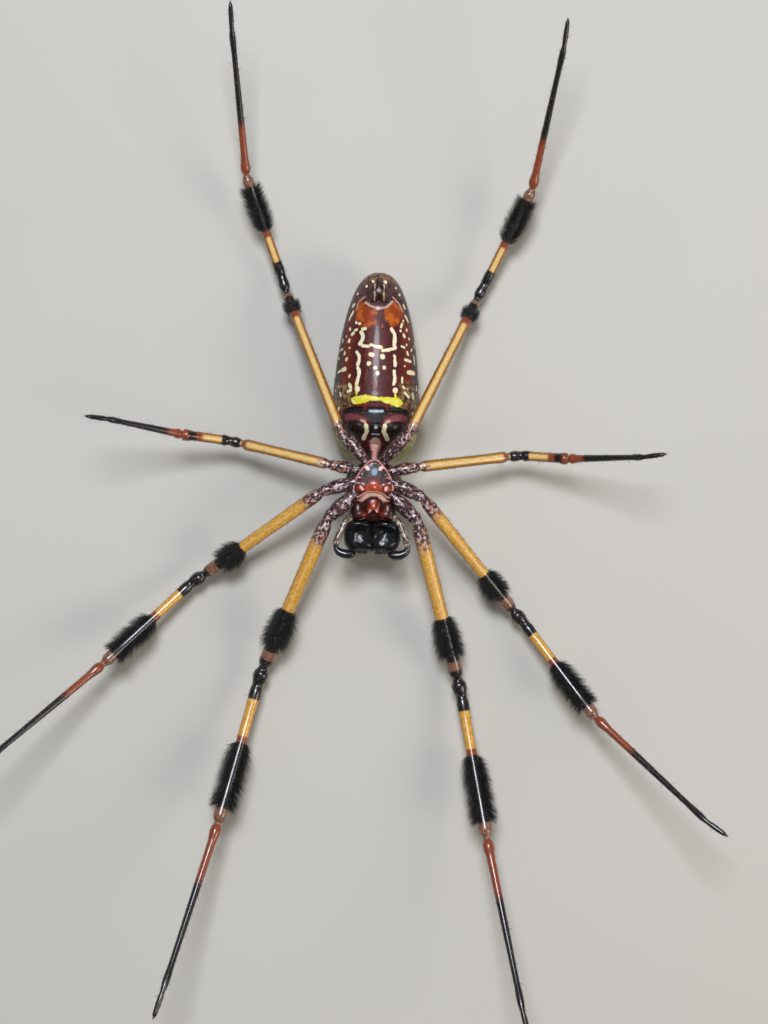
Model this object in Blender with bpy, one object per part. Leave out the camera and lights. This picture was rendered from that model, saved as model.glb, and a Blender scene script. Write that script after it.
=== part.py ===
"""A female golden silk orb weaver, life size, lying belly up with its eight legs spread.

Frame: +Y runs from the head to the tail of the abdomen, +X is the spider's right side, and
+Z is its belly side. The flat on the back of the abdomen rests on z = 0 with its centre at
the origin. Sizes below are millimetres; every mesh is scaled to metres when it is published.
"""
import math
import random
from dataclasses import dataclass

import bmesh
import bpy
import numpy as np
from mathutils import Vector

ROOT_NAME = "golden_silk_orb_weaver"
MM = 0.001
GAP = 0.30
SEED = 24

# Body, along Y from the pedicel, which joins the two halves of the body
REST_FROM_PEDICEL = 6.1
PEDICEL_Y = -REST_FROM_PEDICEL
PEDICEL_Z = 7.0
PEDICEL_RADIUS = 0.50

# Abdomen
ABDOMEN_FRONT = -1.0
ABDOMEN_WIDEST = 4.4
ABDOMEN_TAIL = 21.6
ABDOMEN_HALF_WIDTH = 5.27
ABDOMEN_HALF_HEIGHT = 5.65
ABDOMEN_AXIS_Z = 4.95
ABDOMEN_SLANT = 0.30
ABDOMEN_DROOP = 1.75
ABDOMEN_DROOP_END = 1.6
ABDOMEN_RINGS = 17
ABDOMEN_SIDES = 24
FRONT_POWER, FRONT_ROOT = 2.4, 4.0
TAIL_POWER, TAIL_ROOT = 1.6, 2.6
BOOK_LUNG_X, BOOK_LUNG_Y = 2.6, 2.7
EPIGYNE_Y = 3.0

# Spinnerets, a cluster on the belly side short of the tail
SPINNERET_Y = 19.0
SPINNERET_LENGTH = 1.35
SPINNERET_RADIUS = 0.52

# Head and thorax
THORAX_BACK = -1.25
HEAD_FRONT = -10.1
STERNUM_BACK = -0.75
STERNUM_FRONT = -5.55
STERNUM_HALF_WIDTH = 2.45
STERNUM_TOP = 8.75
STERNUM_THICKNESS = 0.60
LABIUM_BACK = -5.30
LABIUM_FRONT = -7.45
CHELICERA_X = 1.45
CARAPACE_HORN_X, CARAPACE_HORN_Y = 0.75, -5.7
EYE_RADIUS = 0.27
EYE_GAP = 0.10

# Legs: lengths of coxa with trochanter, femur, patella, tibia, metatarsus, tarsus
LEG_LENGTHS = {
    1: (3.8, 20.6, 2.0, 17.3, 21.1, 3.2),
    2: (3.4, 18.5, 1.9, 14.3, 18.6, 2.9),
    3: (2.9, 11.4, 1.8, 5.8, 10.4, 2.7),
    4: (4.4, 19.9, 2.1, 12.7, 18.0, 3.1),
}
# Where each coxa leaves the breastplate: sideways, along Y from the pedicel, height
LEG_ROOTS = {
    1: (2.55, -5.35, 8.0),
    2: (2.80, -3.75, 8.0),
    3: (2.40, -2.15, 8.1),
    4: (1.45, -0.65, 8.2),
}
# Rise of each segment above the horizontal, in degrees, the same on both sides
LEG_PITCH = {
    1: (-1.5, -14.5, -3.0, 12.0, 22.0, 14.5),
    2: (1.5, -17.0, -3.0, 13.5, 26.0, 16.0),
    3: (6.0, -16.5, 0.0, 24.0, 38.0, 21.5),
    4: (28.0, -22.0, -2.5, 14.0, 28.0, 15.0),
}
# Heading of each segment in degrees, outward from straight ahead (-Y), as the spider holds it
LEG_HEADING = {
    ("left", 1): (46.5, 22.0, 17.0, 14.0, 16.0, 17.0),
    ("right", 1): (46.5, 16.0, 15.5, 11.5, 13.0, 15.5),
    ("left", 2): (72.0, 53.5, 54.5, 45.5, 48.0, 51.0),
    ("right", 2): (64.0, 40.5, 44.0, 38.5, 48.5, 56.5),
    ("left", 3): (100.0, 102.0, 100.5, 95.5, 99.5, 95.5),
    ("right", 3): (100.0, 98.5, 95.5, 87.0, 92.0, 99.0),
    ("left", 4): (138.0, 157.0, 162.0, 159.0, 174.0, 176.0),
    ("right", 4): (138.0, 155.0, 153.5, 155.0, 170.0, 174.0),
}
# The face of each coxa on the breastplate looks this way instead of along the leg
COXA_FACE_HEADING = {1: 78.0, 2: 82.0, 3: 100.0, 4: 128.0}
LEG_SIDES = 8
CORE_FADE = 1.1


@dataclass(frozen=True)
class LegGirth:
    """Radii of one leg: thickest part of each segment, and of the joints between them."""

    coxa: float
    femur: float
    knee: float
    tibia: float
    ankle: float
    metatarsus: float
    tarsus: float


@dataclass(frozen=True)
class Brush:
    """A sleeve of stiff black bristles on one leg segment.

    start and end are fractions of the segment's length where the first and last ring of
    locks is rooted; core is the sleeve's dense part above the skin, stand the height of the
    tips above the core, and reach how far the tips lie further out along the leg.
    """

    start: float
    end: float
    rings: int
    around: int
    core: float
    stand: float
    reach: float
    half_width: float


LEG_GIRTH = {
    1: LegGirth(0.98, 0.88, 0.90, 0.68, 0.85, 0.52, 0.34),
    2: LegGirth(0.90, 0.78, 0.82, 0.62, 0.76, 0.48, 0.32),
    3: LegGirth(0.76, 0.66, 0.62, 0.58, 0.58, 0.46, 0.30),
    4: LegGirth(0.86, 0.64, 0.64, 0.55, 0.64, 0.46, 0.30),
}
FEMUR_BRUSH = {
    1: Brush(0.60, 0.80, 3, 7, 0.28, 1.15, 1.9, 0.48),
    2: Brush(0.66, 0.83, 3, 6, 0.24, 1.05, 1.7, 0.46),
    4: Brush(0.84, 0.90, 2, 5, 0.14, 0.52, 1.1, 0.36),
}
TIBIA_BRUSH = {
    1: Brush(0.42, 0.83, 5, 6, 0.28, 1.05, 1.8, 0.46),
    2: Brush(0.43, 0.81, 4, 6, 0.24, 0.95, 1.6, 0.42),
    4: Brush(0.44, 0.82, 4, 5, 0.22, 0.88, 1.5, 0.40),
}


@dataclass(frozen=True)
class Finish:
    """Colour, roughness and metallic value of one sub-part's material."""

    colour: tuple[float, float, float]
    roughness: float
    metallic: float = 0.0


ABDOMEN_FINISH = Finish((0.20, 0.09, 0.06), 0.45)
CARAPACE_FINISH = Finish((0.42, 0.40, 0.36), 0.60)
PLATE_FINISH = Finish((0.24, 0.04, 0.025), 0.30)
BLACK_FINISH = Finish((0.012, 0.012, 0.014), 0.18)
COXA_FINISH = Finish((0.28, 0.18, 0.15), 0.45)
GOLD_FINISH = Finish((0.62, 0.36, 0.06), 0.40)
DARK_LEG_FINISH = Finish((0.10, 0.04, 0.025), 0.38)


@dataclass
class Shell:
    """Points in millimetres and the faces between them, turned outward."""

    points: list
    faces: list


def clear_scene():
    """Take every object out of the scene."""
    for item in list(bpy.data.objects):
        bpy.data.objects.remove(item, do_unlink=True)


def unit(vector):
    """Return the vector at length one."""
    return vector / np.linalg.norm(vector)


def heading(side, degrees, pitch=0.0):
    """Return the unit vector that looks outward from -Y by degrees and up by pitch."""
    turn = math.radians(degrees)
    rise = math.radians(pitch)
    flat = math.cos(rise)
    return np.array([side * math.sin(turn) * flat, -math.cos(turn) * flat, math.sin(rise)])


def smooth(edge_a, edge_b, value):
    """Return 0 before edge_a, 1 past edge_b and an even ramp between them."""
    t = min(max((value - edge_a) / (edge_b - edge_a), 0.0), 1.0)
    return t * t * (3.0 - 2.0 * t)


def ring_axes(normal, up):
    """Return the sideways and upward axes of a ring whose plane faces along normal."""
    side = unit(np.cross(normal, up))
    return side, np.cross(side, normal)


def round_ring(centre, normal, half_width, half_height, sides, up=(0.0, 0.0, 1.0)):
    """Return the points of an ellipse around centre, anticlockwise about its normal."""
    side, top = ring_axes(unit(np.asarray(normal)), np.asarray(up))
    turns = [2.0 * math.pi * (k + 0.5) / sides for k in range(sides)]
    return [centre + side * half_width * math.cos(a) + top * half_height * math.sin(a)
            for a in turns]


def loft(rings, start_tip=None, end_tip=None):
    """Skin equal rings in order, closing each end with a point or a flat face."""
    sides = len(rings[0])
    points = [p for ring in rings for p in ring]
    faces = []
    for row in range(len(rings) - 1):
        low, high = row * sides, (row + 1) * sides
        for k in range(sides):
            n = (k + 1) % sides
            faces.append((low + k, high + k, high + n, low + n))
    last = (len(rings) - 1) * sides
    for tip, base, flip in ((start_tip, 0, False), (end_tip, last, True)):
        ring = [base + k for k in range(sides)]
        if tip is None:
            faces.append(tuple(reversed(ring)) if flip else tuple(ring))
            continue
        points.append(np.asarray(tip, dtype=float))
        apex = len(points) - 1
        for k in range(sides):
            pair = (ring[k], ring[(k + 1) % sides])
            faces.append((pair[1], pair[0], apex) if flip else (pair[0], pair[1], apex))
    return Shell(points, faces)


def sweep(path, half_widths, half_heights, sides, up=(0.0, 0.0, 1.0), first=None, last=None,
          end_tip=None):
    """Loft ellipses along a path; first and last replace the end rings' own directions."""
    path = [np.asarray(p, dtype=float) for p in path]
    rings = []
    for k, centre in enumerate(path):
        before, after = path[max(k - 1, 0)], path[min(k + 1, len(path) - 1)]
        normal = unit(after - before)
        if k == 0 and first is not None:
            normal = unit(np.asarray(first))
        if k == len(path) - 1 and last is not None:
            normal = unit(np.asarray(last))
        rings.append(round_ring(centre, normal, half_widths[k], half_heights[k], sides, up))
    return loft(rings, end_tip=end_tip)


def ball(centre, radii, rows=4, sides=7):
    """Return a round or stretched ball with its poles along Z."""
    centre = np.asarray(centre, dtype=float)
    rings = []
    for row in range(1, rows):
        tilt = math.pi * row / rows
        height = -math.cos(tilt) * radii[2]
        rings.append([centre + np.array([radii[0] * math.sin(tilt) * math.cos(a),
                                         radii[1] * math.sin(tilt) * math.sin(a), height])
                      for a in (2.0 * math.pi * k / sides for k in range(sides))])
    low = centre - np.array([0.0, 0.0, radii[2]])
    high = centre + np.array([0.0, 0.0, radii[2]])
    return loft(rings, start_tip=low, end_tip=high)


def to_object(name, shell):
    """Make an object of a shell, still in millimetres, with its faces turned outward."""
    mesh = bpy.data.meshes.new(name)
    mesh.from_pydata([tuple(p) for p in shell.points], [], shell.faces)
    work = bmesh.new()
    work.from_mesh(mesh)
    bmesh.ops.recalc_face_normals(work, faces=work.faces)
    work.to_mesh(mesh)
    work.free()
    item = bpy.data.objects.new(name, mesh)
    bpy.context.scene.collection.objects.link(item)
    return item


def apply_boolean(item, shells, operation):
    """Join shells to an object or cut them from it, and drop the tools used."""
    if not shells:
        return item
    tools = bpy.data.collections.new(item.name + "_tools")
    bpy.context.scene.collection.children.link(tools)
    for number, shell in enumerate(shells):
        tool = to_object(f"{item.name}_tool_{number}", shell)
        bpy.context.scene.collection.objects.unlink(tool)
        tools.objects.link(tool)
    modifier = item.modifiers.new("shape", "BOOLEAN")
    modifier.operation = operation
    modifier.solver = "EXACT"
    modifier.operand_type = "COLLECTION"
    modifier.collection = tools
    graph = bpy.context.evaluated_depsgraph_get()
    shaped = bpy.data.meshes.new_from_object(item.evaluated_get(graph))
    item.modifiers.clear()
    item.data = shaped
    for tool in list(tools.objects):
        bpy.data.objects.remove(tool, do_unlink=True)
    bpy.data.collections.remove(tools)
    keep_largest(item)
    return item


def keep_largest(item):
    """Keep only the closed surface that spans the most volume."""
    work = bmesh.new()
    work.from_mesh(item.data)
    bmesh.ops.remove_doubles(work, verts=work.verts, dist=0.0005)
    bmesh.ops.dissolve_degenerate(work, edges=work.edges, dist=0.0005)
    unseen = set(work.faces)
    best, best_size = [], -1.0
    while unseen:
        stack = [unseen.pop()]
        island = []
        while stack:
            face = stack.pop()
            island.append(face)
            for edge in face.edges:
                for other in edge.link_faces:
                    if other in unseen:
                        unseen.remove(other)
                        stack.append(other)
        size = abs(sum(f.calc_center_median().dot(f.normal) * f.calc_area() for f in island))
        if size > best_size:
            best, best_size = island, size
    kept = set(best)
    loose = [f for f in work.faces if f not in kept]
    bmesh.ops.delete(work, geom=loose, context="FACES")
    work.to_mesh(item.data)
    work.free()


def publish(item, finish, origin):
    """Scale an object to metres about its own origin, dress it and hang it on the spider."""
    origin = Vector([float(v) for v in origin])
    for vertex in item.data.vertices:
        vertex.co = (vertex.co - origin) * MM
    item.location = origin * MM
    material = bpy.data.materials.new(item.name)
    material.use_nodes = True
    shader = material.node_tree.nodes["Principled BSDF"]
    shader.inputs["Base Color"].default_value = (*finish.colour, 1.0)
    shader.inputs["Roughness"].default_value = finish.roughness
    shader.inputs["Metallic"].default_value = finish.metallic
    item.data.materials.clear()
    item.data.materials.append(material)
    item.data.shade_smooth()
    item.data.set_sharp_from_angle(angle=math.radians(35.0))
    item.parent = bpy.data.objects[ROOT_NAME]


def at(x, y, z):
    """Return a point given sideways, along Y from the pedicel, and by height."""
    return np.array([x, PEDICEL_Y + y, z])


def abdomen_girth(y):
    """Return the abdomen's half width at y, as a share of its widest."""
    if y < ABDOMEN_WIDEST:
        t = (ABDOMEN_WIDEST - y) / (ABDOMEN_WIDEST - ABDOMEN_FRONT)
        return max(1.0 - t ** FRONT_POWER, 0.0) ** (1.0 / FRONT_ROOT)
    t = (y - ABDOMEN_WIDEST) / (ABDOMEN_TAIL - ABDOMEN_WIDEST)
    return max(1.0 - t ** TAIL_POWER, 0.0) ** (1.0 / TAIL_ROOT)


def abdomen_ring(y, grow):
    """Return one ring of the abdomen, slanted where its front hangs over the thorax."""
    share = abdomen_girth(y)
    wide = ABDOMEN_HALF_WIDTH * share + grow
    tall = ABDOMEN_HALF_HEIGHT * share ** 0.9 + grow
    front = 1.0 - smooth(ABDOMEN_FRONT, ABDOMEN_WIDEST, y)
    droop = ABDOMEN_DROOP * (1.0 - smooth(ABDOMEN_FRONT, ABDOMEN_DROOP_END, y))
    ring = []
    for k in range(ABDOMEN_SIDES):
        a = 2.0 * math.pi * (k + 0.5) / ABDOMEN_SIDES
        height = ABDOMEN_AXIS_Z - droop + tall * math.sin(a)
        back = front * (ABDOMEN_SLANT * max(height - 3.0, 0.0) - grow)
        ring.append(at(wide * math.cos(a), y + back, max(height, -grow)))
    return ring


def abdomen_shell(grow=0.0):
    """Return the abdomen: blunt in front, tapering to the tail, flat where it rests."""
    middle = 0.5 * (ABDOMEN_FRONT + ABDOMEN_TAIL)
    half = 0.5 * (ABDOMEN_TAIL - ABDOMEN_FRONT)
    rings = []
    for k in range(ABDOMEN_RINGS):
        turn = math.pi * (k + 0.6) / (ABDOMEN_RINGS + 0.2)
        rings.append(abdomen_ring(middle - half * math.cos(turn), grow))
    front = at(0.0, ABDOMEN_FRONT - grow, ABDOMEN_AXIS_Z - ABDOMEN_DROOP)
    tail = at(0.0, ABDOMEN_TAIL + grow, 4.8)
    return loft(rings, start_tip=front, end_tip=tail)


def book_lung_shell(side, grow=0.0):
    """Return the domed cover of one book lung."""
    return ball(at(side * BOOK_LUNG_X, BOOK_LUNG_Y, 9.05),
                (1.35 + grow, 0.95 + grow, 0.85 + grow))


def make_abdomen():
    """Make the abdomen with its book-lung covers, its epigyne and its rest flat."""
    item = to_object("abdomen", abdomen_shell())
    plates = [book_lung_shell(side) for side in (-1.0, 1.0)]
    plates.append(ball(at(0.0, EPIGYNE_Y, 10.25), (1.1, 0.55, 0.62)))
    apply_boolean(item, plates, "UNION")
    apply_boolean(item, [pedicel_shell(GAP)], "DIFFERENCE")
    flatten_rest(item)
    publish(item, ABDOMEN_FINISH, (0.0, 0.0, ABDOMEN_AXIS_Z))


def flatten_rest(item):
    """Merge the level faces on the back of the abdomen into one flat."""
    work = bmesh.new()
    work.from_mesh(item.data)
    level = [e for e in work.edges if max(v.co.z for v in e.verts) < 1e-4
             and len(e.link_faces) == 2
             and all(max(v.co.z for v in f.verts) < 1e-4 for f in e.link_faces)]
    bmesh.ops.dissolve_edges(work, edges=level, use_verts=True)
    work.to_mesh(item.data)
    work.free()


def pedicel_shell(grow=0.0):
    """Return the waist between thorax and abdomen."""
    reach = 0.0 if grow == 0.0 else grow
    path = [at(0.0, y, PEDICEL_Z + 0.1 * y) for y in
            (THORAX_BACK - 0.9 - reach, THORAX_BACK, -0.2, 1.7 + reach)]
    radii = [PEDICEL_RADIUS + grow] * 4
    return sweep(path, radii, radii, 8)


def belly_height(y):
    """Return the height of the belly's midline at y, behind the slanted front."""
    return ABDOMEN_AXIS_Z + ABDOMEN_HALF_HEIGHT * abdomen_girth(y) ** 0.9


def make_spinnerets():
    """Make the cluster of silk-spinning cones on a low mound, clear of the abdomen."""
    level = belly_height(SPINNERET_Y)
    mound = ball(at(0.0, SPINNERET_Y, level - 0.35), (1.35, 1.55, 1.10), rows=5, sides=9)
    item = to_object("spinnerets", mound)
    cones = []
    for side in (-1.0, 1.0):
        for y, lean, share in ((-0.50, 0.35, 1.0), (0.62, 0.55, 0.95)):
            base = at(side * 0.56, SPINNERET_Y + y, level - 0.1 - 0.35 * y)
            direction = unit(np.array([-side * 0.12, lean, 1.0]))
            length = SPINNERET_LENGTH * share
            path = [base, base + direction * length * 0.55, base + direction * length * 0.86]
            radii = [SPINNERET_RADIUS, SPINNERET_RADIUS * 0.92, SPINNERET_RADIUS * 0.68]
            cones.append(sweep(path, radii, radii, 7, up=(0.0, 1.0, 0.0),
                               end_tip=base + direction * length))
    tail = at(0.0, SPINNERET_Y + 1.2, level - 0.45)
    lean = unit(np.array([0.0, 0.8, 0.75]))
    cones.append(sweep([tail, tail + lean * 0.7], [0.5, 0.36], [0.4, 0.3], 7,
                       end_tip=tail + lean * 1.15))
    apply_boolean(item, cones, "UNION")
    apply_boolean(item, [abdomen_shell(GAP)], "DIFFERENCE")
    publish(item, COXA_FINISH, at(0.0, SPINNERET_Y, 8.4))


def thorax_section(y):
    """Return half width, dorsal height, rim height and belly height of the prosoma at y."""
    stations = ((THORAX_BACK, 1.25, 5.7, 6.5, 7.7), (-1.9, 2.45, 4.8, 6.0, 8.2),
                (-3.5, 3.35, 4.0, 5.7, 8.5), (-5.0, 3.25, 3.7, 5.6, 8.5),
                (-6.4, 2.75, 3.2, 5.4, 8.1), (-7.6, 2.65, 2.8, 5.2, 7.4),
                (-8.8, 2.45, 2.85, 4.9, 6.6), (-9.7, 1.95, 3.4, 4.7, 5.8))
    ys = [-s[0] for s in stations]
    return [float(np.interp(-y, ys, [s[n] for s in stations])) for n in range(1, 5)]


def thorax_ring(y, sides=20):
    """Return one ring of the prosoma: a dome over the back, narrower between the coxae."""
    wide, back, rim, belly = thorax_section(y)
    core = min(wide, 2.3)
    ring = []
    for k in range(sides):
        a = 2.0 * math.pi * (k + 0.5) / sides
        rise, across = math.sin(a), math.cos(a)
        if rise < 0.0:
            ring.append(at(wide * across, y, rim + (rim - back) * rise))
        else:
            half = wide + (core - wide) * rise
            bulge = math.copysign(abs(across) ** 0.6, across)
            ring.append(at(half * bulge, y, rim + (belly - rim) * rise))
    return ring


def thorax_shell():
    """Return the prosoma with its domed carapace, before its neighbours are cut clear."""
    stations = (THORAX_BACK, -1.9, -2.7, -3.5, -4.3, -5.1, -5.9, -6.7, -7.6, -8.4, -9.1, -9.7)
    rings = [thorax_ring(y) for y in stations]
    return loft(rings, start_tip=at(0.0, THORAX_BACK + 0.25, 6.6),
                end_tip=at(0.0, HEAD_FRONT, 4.5))


def eye_places():
    """Return the name and centre of each of the eight eyes, in two curved rows."""
    rows = (("anterior", -9.80, 0.52, 3.75), ("posterior", -9.15, 0.68, 2.95))
    places = {}
    for row, y, apart, z in rows:
        for side, word in ((-1.0, "left"), (1.0, "right")):
            places[f"eye_{row}_median_{word}"] = at(side * apart, y, z)
    for side, word in ((-1.0, "left"), (1.0, "right")):
        places[f"eye_anterior_lateral_{word}"] = at(side * 1.88, -9.38, 3.85)
        places[f"eye_posterior_lateral_{word}"] = at(side * 2.12, -8.75, 3.62)
    return places


def sternum_half_width(y):
    """Return half the breastplate's width at y, a shield with its point at the back."""
    t = (STERNUM_BACK - y) / (STERNUM_BACK - STERNUM_FRONT)
    rise = math.sin(min(t / 0.78, 1.0) * math.pi / 2.0) ** 0.85
    corner = 1.0 - 0.16 * smooth(0.78, 1.0, t)
    return 0.28 + (STERNUM_HALF_WIDTH - 0.28) * rise * corner


def sternum_outline(grow):
    """Return the breastplate's outline, its front edge hollowed round the lip."""
    rows = 9
    side = []
    for k in range(rows):
        y = STERNUM_BACK + (STERNUM_FRONT - STERNUM_BACK) * k / (rows - 1)
        side.append((sternum_half_width(y) + grow, y + grow * (1.0 - 2.0 * k / (rows - 1))))
    hollow = [(1.45, STERNUM_FRONT + 0.12 - grow), (0.75, STERNUM_FRONT + 0.55 - grow),
              (0.0, STERNUM_FRONT + 0.68 - grow)]
    right = side + hollow
    left = [(-x, y) for x, y in reversed(right[:-1])]
    return right + left


def sternum_shell(grow=0.0):
    """Return the breastplate: a thin shield with a raised middle."""
    outline = sternum_outline(grow)
    centre_y = -3.4
    low = STERNUM_TOP - STERNUM_THICKNESS - grow
    levels = ((1.0, low), (1.0, STERNUM_TOP - 0.22 + grow), (0.86, STERNUM_TOP - 0.05 + grow),
              (0.45, STERNUM_TOP + 0.08 + grow))
    rings = [[at(x * share, centre_y + (y - centre_y) * share, z) for x, y in outline]
             for share, z in levels]
    return loft(rings, end_tip=at(0.0, centre_y, STERNUM_TOP + 0.12 + grow))


def make_sternum():
    """Make the breastplate with its paired tubercles, one facing each second coxa."""
    item = to_object("sternum", sternum_shell())
    bumps = [ball(at(side * 1.35, -4.35, STERNUM_TOP - 0.05), (0.42, 0.42, 0.32), 4, 7)
             for side in (-1.0, 1.0)]
    bumps.append(ball(at(0.0, -4.2, STERNUM_TOP + 0.0), (0.50, 0.42, 0.30), 4, 7))
    apply_boolean(item, bumps, "UNION")
    publish(item, PLATE_FINISH, at(0.0, -3.4, STERNUM_TOP))


def labium_shell(grow=0.0):
    """Return the lip plate between the mouthparts."""
    path = [at(0.0, LABIUM_BACK + grow, 8.10), at(0.0, -6.1, 8.15), at(0.0, -6.9, 8.1),
            at(0.0, LABIUM_FRONT - grow, 8.0)]
    wide = [0.85 + grow, 0.95 + grow, 0.75 + grow, 0.45 + grow]
    tall = [0.40 + grow, 0.52 + grow, 0.48 + grow, 0.32 + grow]
    return sweep(path, wide, tall, 10)


def endite_shell(side, grow=0.0):
    """Return one maxilla, the broad inner lobe of a palp's coxa."""
    path = [at(side * 1.72, -5.95 + grow, 7.75), at(side * 1.85, -6.5, 7.75),
            at(side * 1.83, -7.2, 7.75), at(side * 1.60, -7.75, 7.75),
            at(side * 1.50, -8.05 - grow, 7.70)]
    wide = [0.38, 0.58, 0.80, 1.06, 0.80]
    tall = [0.45, 0.66, 0.74, 0.70, 0.40]
    return sweep(path, [w + grow for w in wide], [t + grow for t in tall], 10)


def chelicera_shell(side, grow=0.0):
    """Return one jaw: a stout, slightly bulging body that ends in the fang's seat."""
    levels = ((-9.45, 4.85 - grow), (-9.80, 5.40), (-10.20, 6.30), (-10.15, 7.20),
              (-9.80, 7.95), (-9.55, 8.40 + grow))
    path = [at(side * CHELICERA_X, y, z) for y, z in levels]
    wide = [1.00, 1.50, 1.80, 1.78, 1.48, 0.95]
    deep = [0.70, 1.30, 1.80, 1.90, 1.65, 1.05]
    shell = sweep(path, [w + grow for w in wide], [d + grow for d in deep], 12,
                  up=(0.0, -1.0, 0.0))
    inner = GAP / 2.0 - grow
    for point in shell.points:
        if side * point[0] < inner:
            point[0] = side * inner
    return shell


def fang_shell(side, grow=0.0):
    """Return one fang, folded inward over the jaw's end."""
    route = ((2.60, -9.10, 8.55), (2.20, -8.75, 8.85), (1.50, -8.58, 8.98), (0.92, -8.62, 8.88))
    path = [at(side * x, y, z) for x, y, z in route]
    radii = [0.40 + grow, 0.36 + grow, 0.28 + grow, 0.20 + grow]
    return sweep(path, radii, radii, 8, up=(0.0, 1.0, 0.0), end_tip=at(side * 0.45, -8.75, 8.75))


def palp_path(side):
    """Return the points of a palp from its root on the maxilla to its knee and its tip."""
    points = ((2.40, -7.65, 7.80), (3.15, -8.35, 8.15), (3.75, -9.60, 8.45),
              (4.22, -10.85, 8.50), (4.26, -11.40, 8.45), (4.02, -11.84, 8.42),
              (3.55, -12.12, 8.40), (2.95, -12.24, 8.38), (2.40, -12.20, 8.35),
              (1.95, -12.08, 8.32))
    return [at(side * x, y, z) for x, y, z in points]


def make_palps():
    """Make both palps, each in two lengths that meet past the knee."""
    for side, word in ((-1.0, "left"), (1.0, "right")):
        path = palp_path(side)
        knee_cut = unit(path[5] - path[3])
        stem = path[:4] + [path[4] - knee_cut * GAP / 2.0]
        radii = [0.36, 0.42, 0.38, 0.40, 0.40]
        item = to_object(f"palp_{word}", sweep(stem, radii, radii, LEG_SIDES,
                                               last=knee_cut))
        apply_boolean(item, [endite_shell(side, GAP)], "DIFFERENCE")
        publish(item, COXA_FINISH, path[0])
        foot = [path[4] + knee_cut * GAP / 2.0] + path[5:9]
        radii = [0.40, 0.48, 0.54, 0.50, 0.36]
        item = to_object(f"palp_tarsus_{word}", sweep(foot, radii, radii, LEG_SIDES,
                                                      first=knee_cut, end_tip=path[9]))
        publish(item, BLACK_FINISH, path[4])


def leg_side(word):
    """Return -1 for the left side and 1 for the right side."""
    return 1.0 if word == "right" else -1.0


def leg_joints(word, number):
    """Return the seven joint points of a leg, from its root to its tip."""
    side = leg_side(word)
    x, y, z = LEG_ROOTS[number]
    points = [at(side * x, y, z)]
    turns = LEG_HEADING[(word, number)]
    for length, turn, rise in zip(LEG_LENGTHS[number], turns, LEG_PITCH[number]):
        points.append(points[-1] + heading(side, turn, rise) * length)
    return points


def joint_normal(points, index):
    """Return the direction of the cut between the two segments that meet at a joint."""
    before = unit(points[index] - points[index - 1])
    after = unit(points[index + 1] - points[index])
    return unit(before + after)


def segment_path(start, end, shares, bow):
    """Return points between start and end at the given shares, bowed by bow."""
    return [start + (end - start) * s + bow * 4.0 * s * (1.0 - s) for s in shares]


def coxa_shell(word, number, grow=0.0):
    """Return a coxa with its trochanter, from the breastplate to the femur."""
    side = leg_side(word)
    joints = leg_joints(word, number)
    girth = LEG_GIRTH[number].coxa
    face = heading(side, COXA_FACE_HEADING[number])
    end_normal = joint_normal(joints, 1)
    start = joints[0] + face * (GAP - grow)
    end = joints[1] - end_normal * (GAP / 2.0 - grow)
    shares = (0.0, 0.2, 0.45, 0.66, 0.76, 0.90, 1.0)
    wide = (0.66, 0.84, 0.96, 0.90, 0.78, 0.84, 0.74)
    tall = (0.95, 1.12, 1.12, 0.98, 0.80, 0.86, 0.76)
    path = segment_path(start, end, shares, np.zeros(3))
    return sweep(path, [w * girth + grow for w in wide], [t * girth + grow for t in tall],
                 LEG_SIDES, first=face, last=end_normal)


def make_coxa(word, number):
    """Make one coxa, cut clear of the breastplate and of what lies beside it."""
    side = leg_side(word)
    item = to_object(f"leg_{number}_{word}_coxa", coxa_shell(word, number))
    tools = [sternum_shell(GAP)]
    if number == 1:
        tools.append(endite_shell(side, GAP))
    else:
        tools.append(coxa_shell(word, number - 1, GAP))
    if number == 4:
        tools += [abdomen_shell(GAP), book_lung_shell(side, GAP)]
    apply_boolean(item, tools, "DIFFERENCE")
    publish(item, COXA_FINISH, leg_joints(word, number)[0])


def lock_shell(centre, along, out, brush, base_radius, draw):
    """Return one lock of bristles: three sided, tapering, leaning out along the leg."""
    across = np.cross(along, out)
    reach = brush.reach * draw.uniform(0.88, 1.12)
    stand = brush.stand * draw.uniform(0.88, 1.10)
    sway = draw.uniform(-0.22, 0.22)
    surface = base_radius + brush.core
    spine = [(-0.05, surface - 0.34), (0.16, surface + 0.26 * stand),
             (0.55, surface + 0.76 * stand), (1.0, surface + stand)]
    places = [centre + along * (a * reach) + out * b + across * (sway * a * a)
              for a, b in spine]
    sizes = ((1.0, 0.62), (0.98, 0.56), (0.70, 0.36))
    rings = []
    for k, (share, depth) in enumerate(sizes):
        travel = unit(places[k + 1] - places[k])
        top = np.cross(travel, across)
        top = top if float(np.dot(top, out)) > 0.0 else -top
        half = brush.half_width * share
        rings.append([places[k] - across * half - top * depth / 3.0,
                      places[k] + across * half - top * depth / 3.0,
                      places[k] + top * depth * 2.0 / 3.0])
    return loft(rings, end_tip=places[3])


def brush_locks(start, end, bow, brush, radius, seed):
    """Return the staggered rings of locks of one brush."""
    draw = random.Random(seed)
    locks = []
    for ring in range(brush.rings):
        share = brush.start + (brush.end - brush.start) * ring / max(brush.rings - 1, 1)
        centre, ahead = segment_path(start, end, (share, share + 0.01), bow)
        along = unit(ahead - centre)
        side, top = ring_axes(along, np.array([0.0, 0.0, 1.0]))
        for k in range(brush.around):
            turn = 2.0 * math.pi * (k + 0.5 * (ring % 2) + draw.uniform(-0.1, 0.1))
            turn /= brush.around
            out = side * math.cos(turn) + top * math.sin(turn)
            locks.append(lock_shell(centre, along, out, brush, radius, draw))
    return locks


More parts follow.
